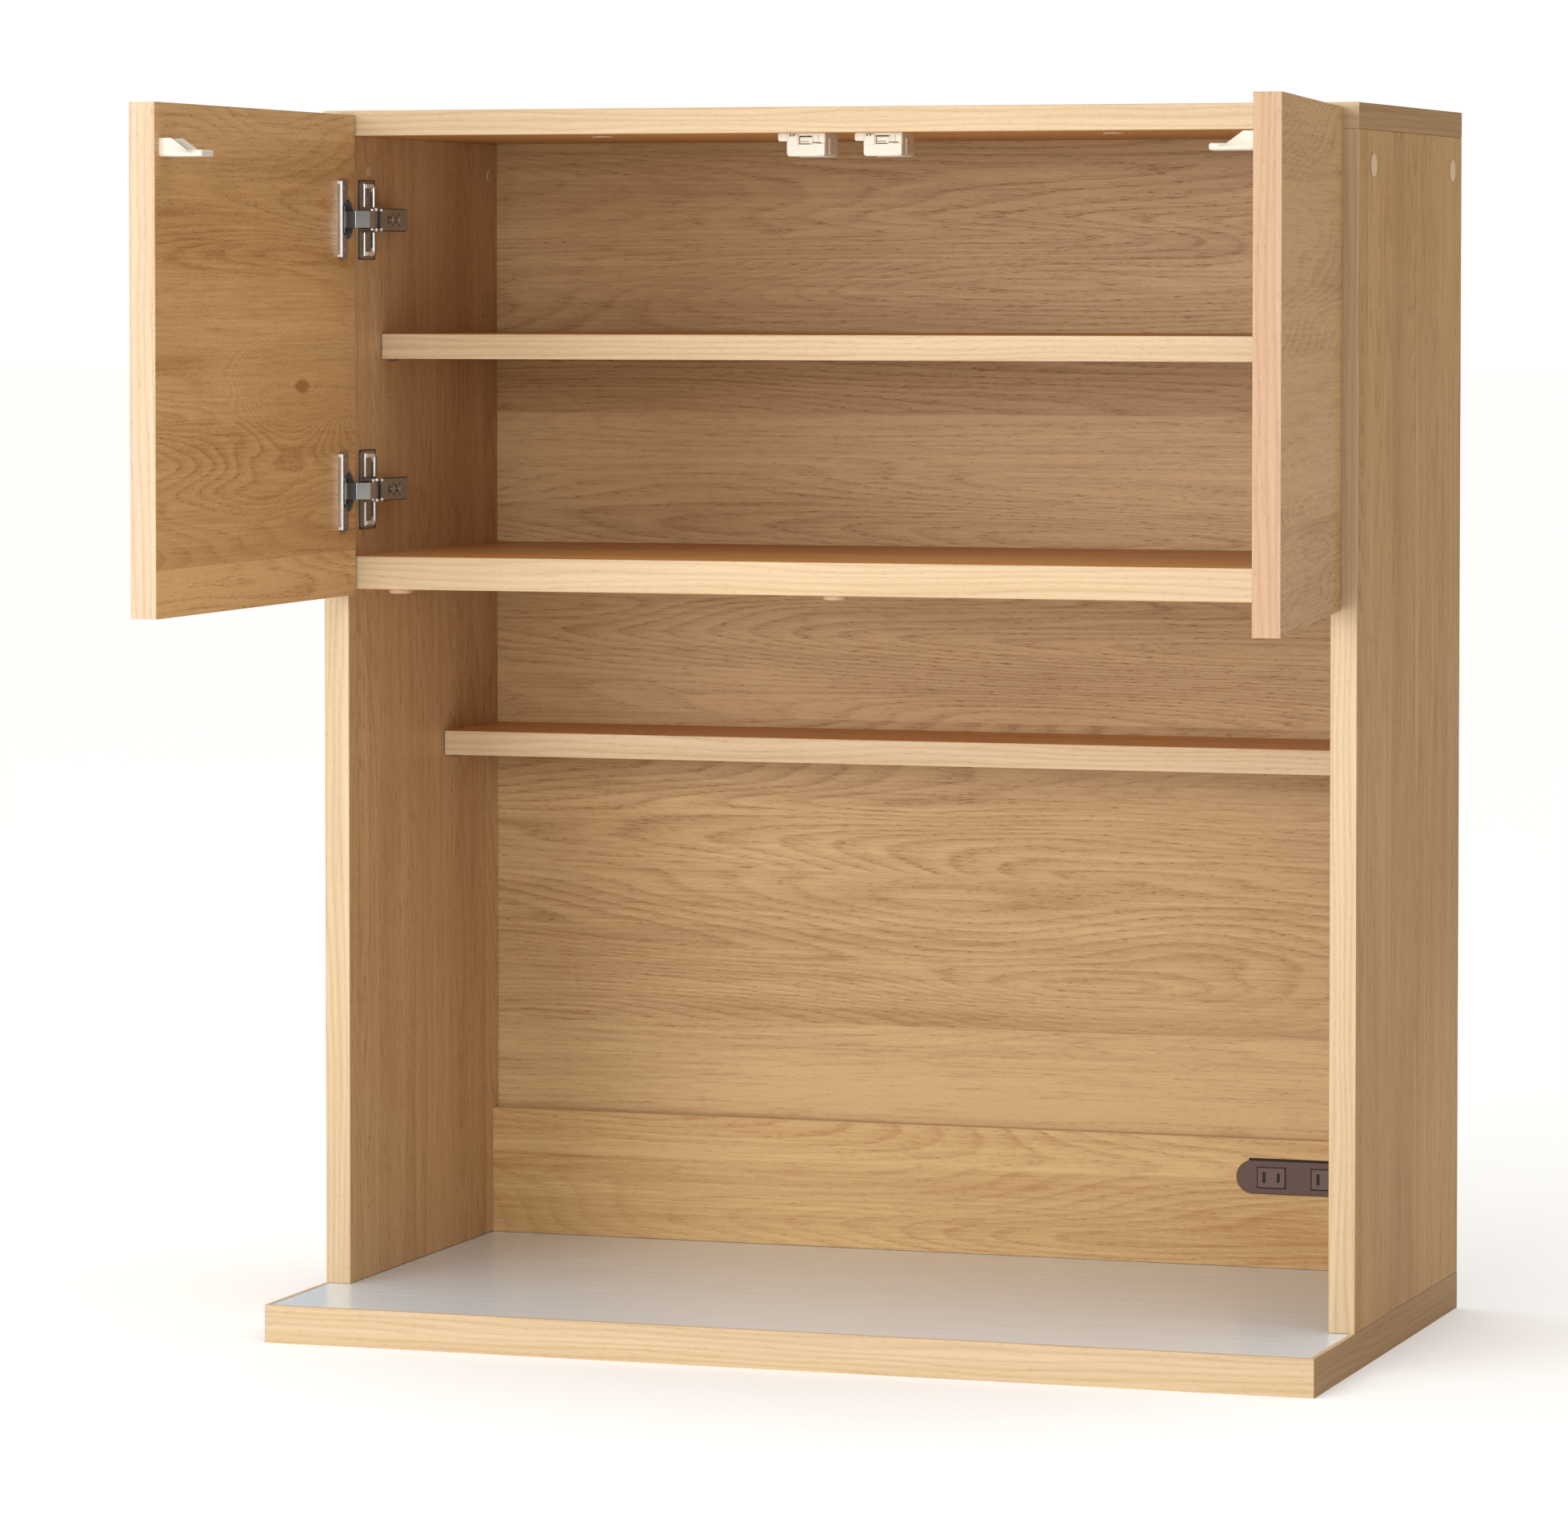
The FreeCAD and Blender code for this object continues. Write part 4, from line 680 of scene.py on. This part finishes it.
def flange_lips(side, flip):
    """The lips on one door's hinge cups, square to the door as it stands open."""
    angle = math.radians(-LEFT_OPEN if side == "left" else 180 + RIGHT_OPEN)
    free = Vector((math.cos(angle), math.sin(angle), 0))
    out = Vector((-free.y, free.x, 0)) * flip
    corners = [v.co for v in nodes["hinge_cups_" + side].data.vertices]
    reach_free = max(corner.dot(free) for corner in corners) - LIP_SIZE[1] / 2
    reach_out = max(corner.dot(out) for corner in corners) - LIP_DROP
    square = Matrix((out, free, (0, 0, 1))).transposed().to_4x4() @ Matrix.Diagonal((*LIP_SIZE, 1))
    lip = bmesh.new()
    for height in HINGE_HEIGHTS:
        middle = free * reach_free + out * reach_out
        middle.z = height / 1000
        bmesh.ops.create_cube(lip, size=1, matrix=Matrix.Translation(middle) @ square)
    bmesh.ops.bevel(lip, geom=lip.edges[:], affect="EDGES", offset=LIP_ROUND, segments=2, profile=0.5,
                    material=-1)
    return finish_piece(lip, "flange_lips_" + side, [rim], side + "_door", [])


print("lips to a door", len(HINGE_HEIGHTS))

# %% [markdown]
# Each mounting plate has a rib at its front edge and raised rims round the wings, in the painted
# highlight nickel, with dark blocks beside them as painted shade in the slots. Small bright balls stand
# for the knuckles above and below the arm, and a dark mark on each side of the arm's screws is painted
# shade. A thin dark sheet behind the plate and one under the arm are painted shadow that gives them
# their outline. Everything is listed for the left side and mirrored for the right.

# %% Hinge ribs, gaps and knuckles
PLATE_FACE = -425.5
ARM_SCREWS = (52.0, 66.0)


def on_wing(z, up, y0, y1, low, high, out=1.5):
    """A block on a plate's upper or lower wing, by its distances from the hinge's middle."""
    heights = sorted((z + up * low, z + up * high))
    return (PLATE_FACE - 0.1, PLATE_FACE + out, y0, y1, *heights)


# The dark list holds painted shade: blocks in the slots, marks by the arm's screws, and painted shadow
# behind the plate and under the arm.
rims, dark, knuckles = [], [], []
for z in HINGE_HEIGHTS:
    for up in (1, -1):
        for rib in ((29.4, 32.2, 10.5, 31.0), (33.2, 50.6, 26.8, 30.6), (50.8, 53.0, 10.5, 29.0)):
            rims.append(on_wing(z, up, *rib))
        for gap in ((27.2, 28.6, 10.5, 31.0), (32.3, 33.1, 10.5, 26.0), (53.1, 54.0, 10.5, 28.0),
                    (56.0, 57.0, 12.0, 13.2), (56.0, 57.0, 15.0, 16.2)):
            dark.append(on_wing(z, up, *gap, 0.15))
        knuckles += [(-410.0, 20.5, z + up * 8.6, 1.5), (-409.4, 30.5, z + up * 8.2, 1.4)]
    dark.append((-427.4, -427.1, 47.1, 49.9, z + 9.0, z + 23.0))
    dark.append((-427.4, -427.1, 47.1, 49.9, z - 23.0, z - 9.0))
    dark.append((-427.5, -427.2, 23.2, 60.8, z - 33.8, z + 33.8))
    dark.append((-411.0, -410.7, 32.0, 90.8, z - 9.8, z + 9.8))
    for y in ARM_SCREWS:
        dark.append((-409.1, -408.9, y + 3.9, y + 5.3, z - 5.5, z + 5.5))
        dark.append((-409.1, -408.9, y - 4.6, y - 3.9, z - 3.5, z + 3.5))

for side, flip in (("left", 1), ("right", -1)):
    flange_lips(side, flip)
    detail("hinge_rims_" + side, rim, "nickel_hinge", rims, width=0.6, flip=flip)
    detail("hinge_painted_shade_" + side, shade, "nickel_hinge", dark, width=0.05, flip=flip)
    detail("hinge_knuckles_" + side, rim, "nickel_hinge", [], balls=knuckles, flip=flip)
print("hinge blocks", len(rims), "gaps", len(dark), "balls", len(knuckles))

# %% [markdown]
# The latches. A moulded column stands left of each mouth, a plate closes the mouth in front of the
# catch lever, and the housing bulges at its lower right. Thin dark blocks are painted shade: in the
# slots over the column, on the steps in the mouth, and as the shadow under the round boss. Both
# latches are the same way round, so nothing is mirrored here.

# %% Latch fronts
LATCH_LOW = 988.2
LATCH_MIDDLES = (("left", -26.0), ("right", 41.0))
COLUMN = (-15.3, -6.4, 19.4, 21.5, 9.0, 18.4)
MOUTH_PLATE = (-5.9, 5.9, 22.2, 23.2, 10.0, 16.2)
BULGE = (8.2, 16.8, 19.6, 21.5, 0.7, 10.8)
COLUMN_SLOTS = [(-13.6, -12.5, 19.2, 19.5, 16.6, 18.6), (-10.9, -9.8, 19.2, 19.5, 16.6, 18.6)]
MOUTH_STEPS = [(-5.2, 3.6, 21.9, 22.3, 10.2, 10.9), (-5.2, 2.4, 21.9, 22.3, 12.2, 12.7)]
BOSS_SHADOW = (5.4, 13.6, 19.7, 20.6, 11.1, 11.8)


def on_latch(middle, blocks):
    """Blocks given from a latch's middle and lower edge, moved to where that latch is."""
    return [(middle + x0, middle + x1, y0, y1, LATCH_LOW + z0, LATCH_LOW + z1)
            for x0, x1, y0, y1, z0, z1 in blocks]


for side, middle in LATCH_MIDDLES:
    raised = on_latch(middle, [COLUMN, MOUTH_PLATE, BULGE])
    # The dark blocks here are painted shade.
    painted_shade_marks = on_latch(middle, COLUMN_SLOTS + MOUTH_STEPS + [BOSS_SHADOW])
    detail("latch_front_" + side, white, "white_plastic", raised, width=0.9)
    detail("latch_painted_shade_" + side, painted_shade_tan, "white_plastic", painted_shade_marks, width=0.1)
print("latch fronts", [side for side, middle in LATCH_MIDDLES])

# %% [markdown]
# The outlet. The strip isn't pushed right home, so a gap shows along its top edge, and each socket
# face stands in a slightly larger opening. The shadow in both is painted: thin dark brown sheets.

# %% Outlet gaps
STRIP_SHADE = (273.0, 362.0, 338.3, 338.9, 120.0, 126.4)
SOCKET_MIDDLES = (293.5, 341.5)

detail("outlet_painted_shade", painted_shade_brown, "brown_plastic", [STRIP_SHADE], width=0.2)
# Painted shade: a dark sheet behind each socket face.
sockets = [(x - 13.0, x + 13.0, 336.3, 336.55, 100.4, 119.3) for x in SOCKET_MIDDLES]
detail("socket_painted_shade", painted_shade_brown, "brown_plastic", sockets, width=0.1)
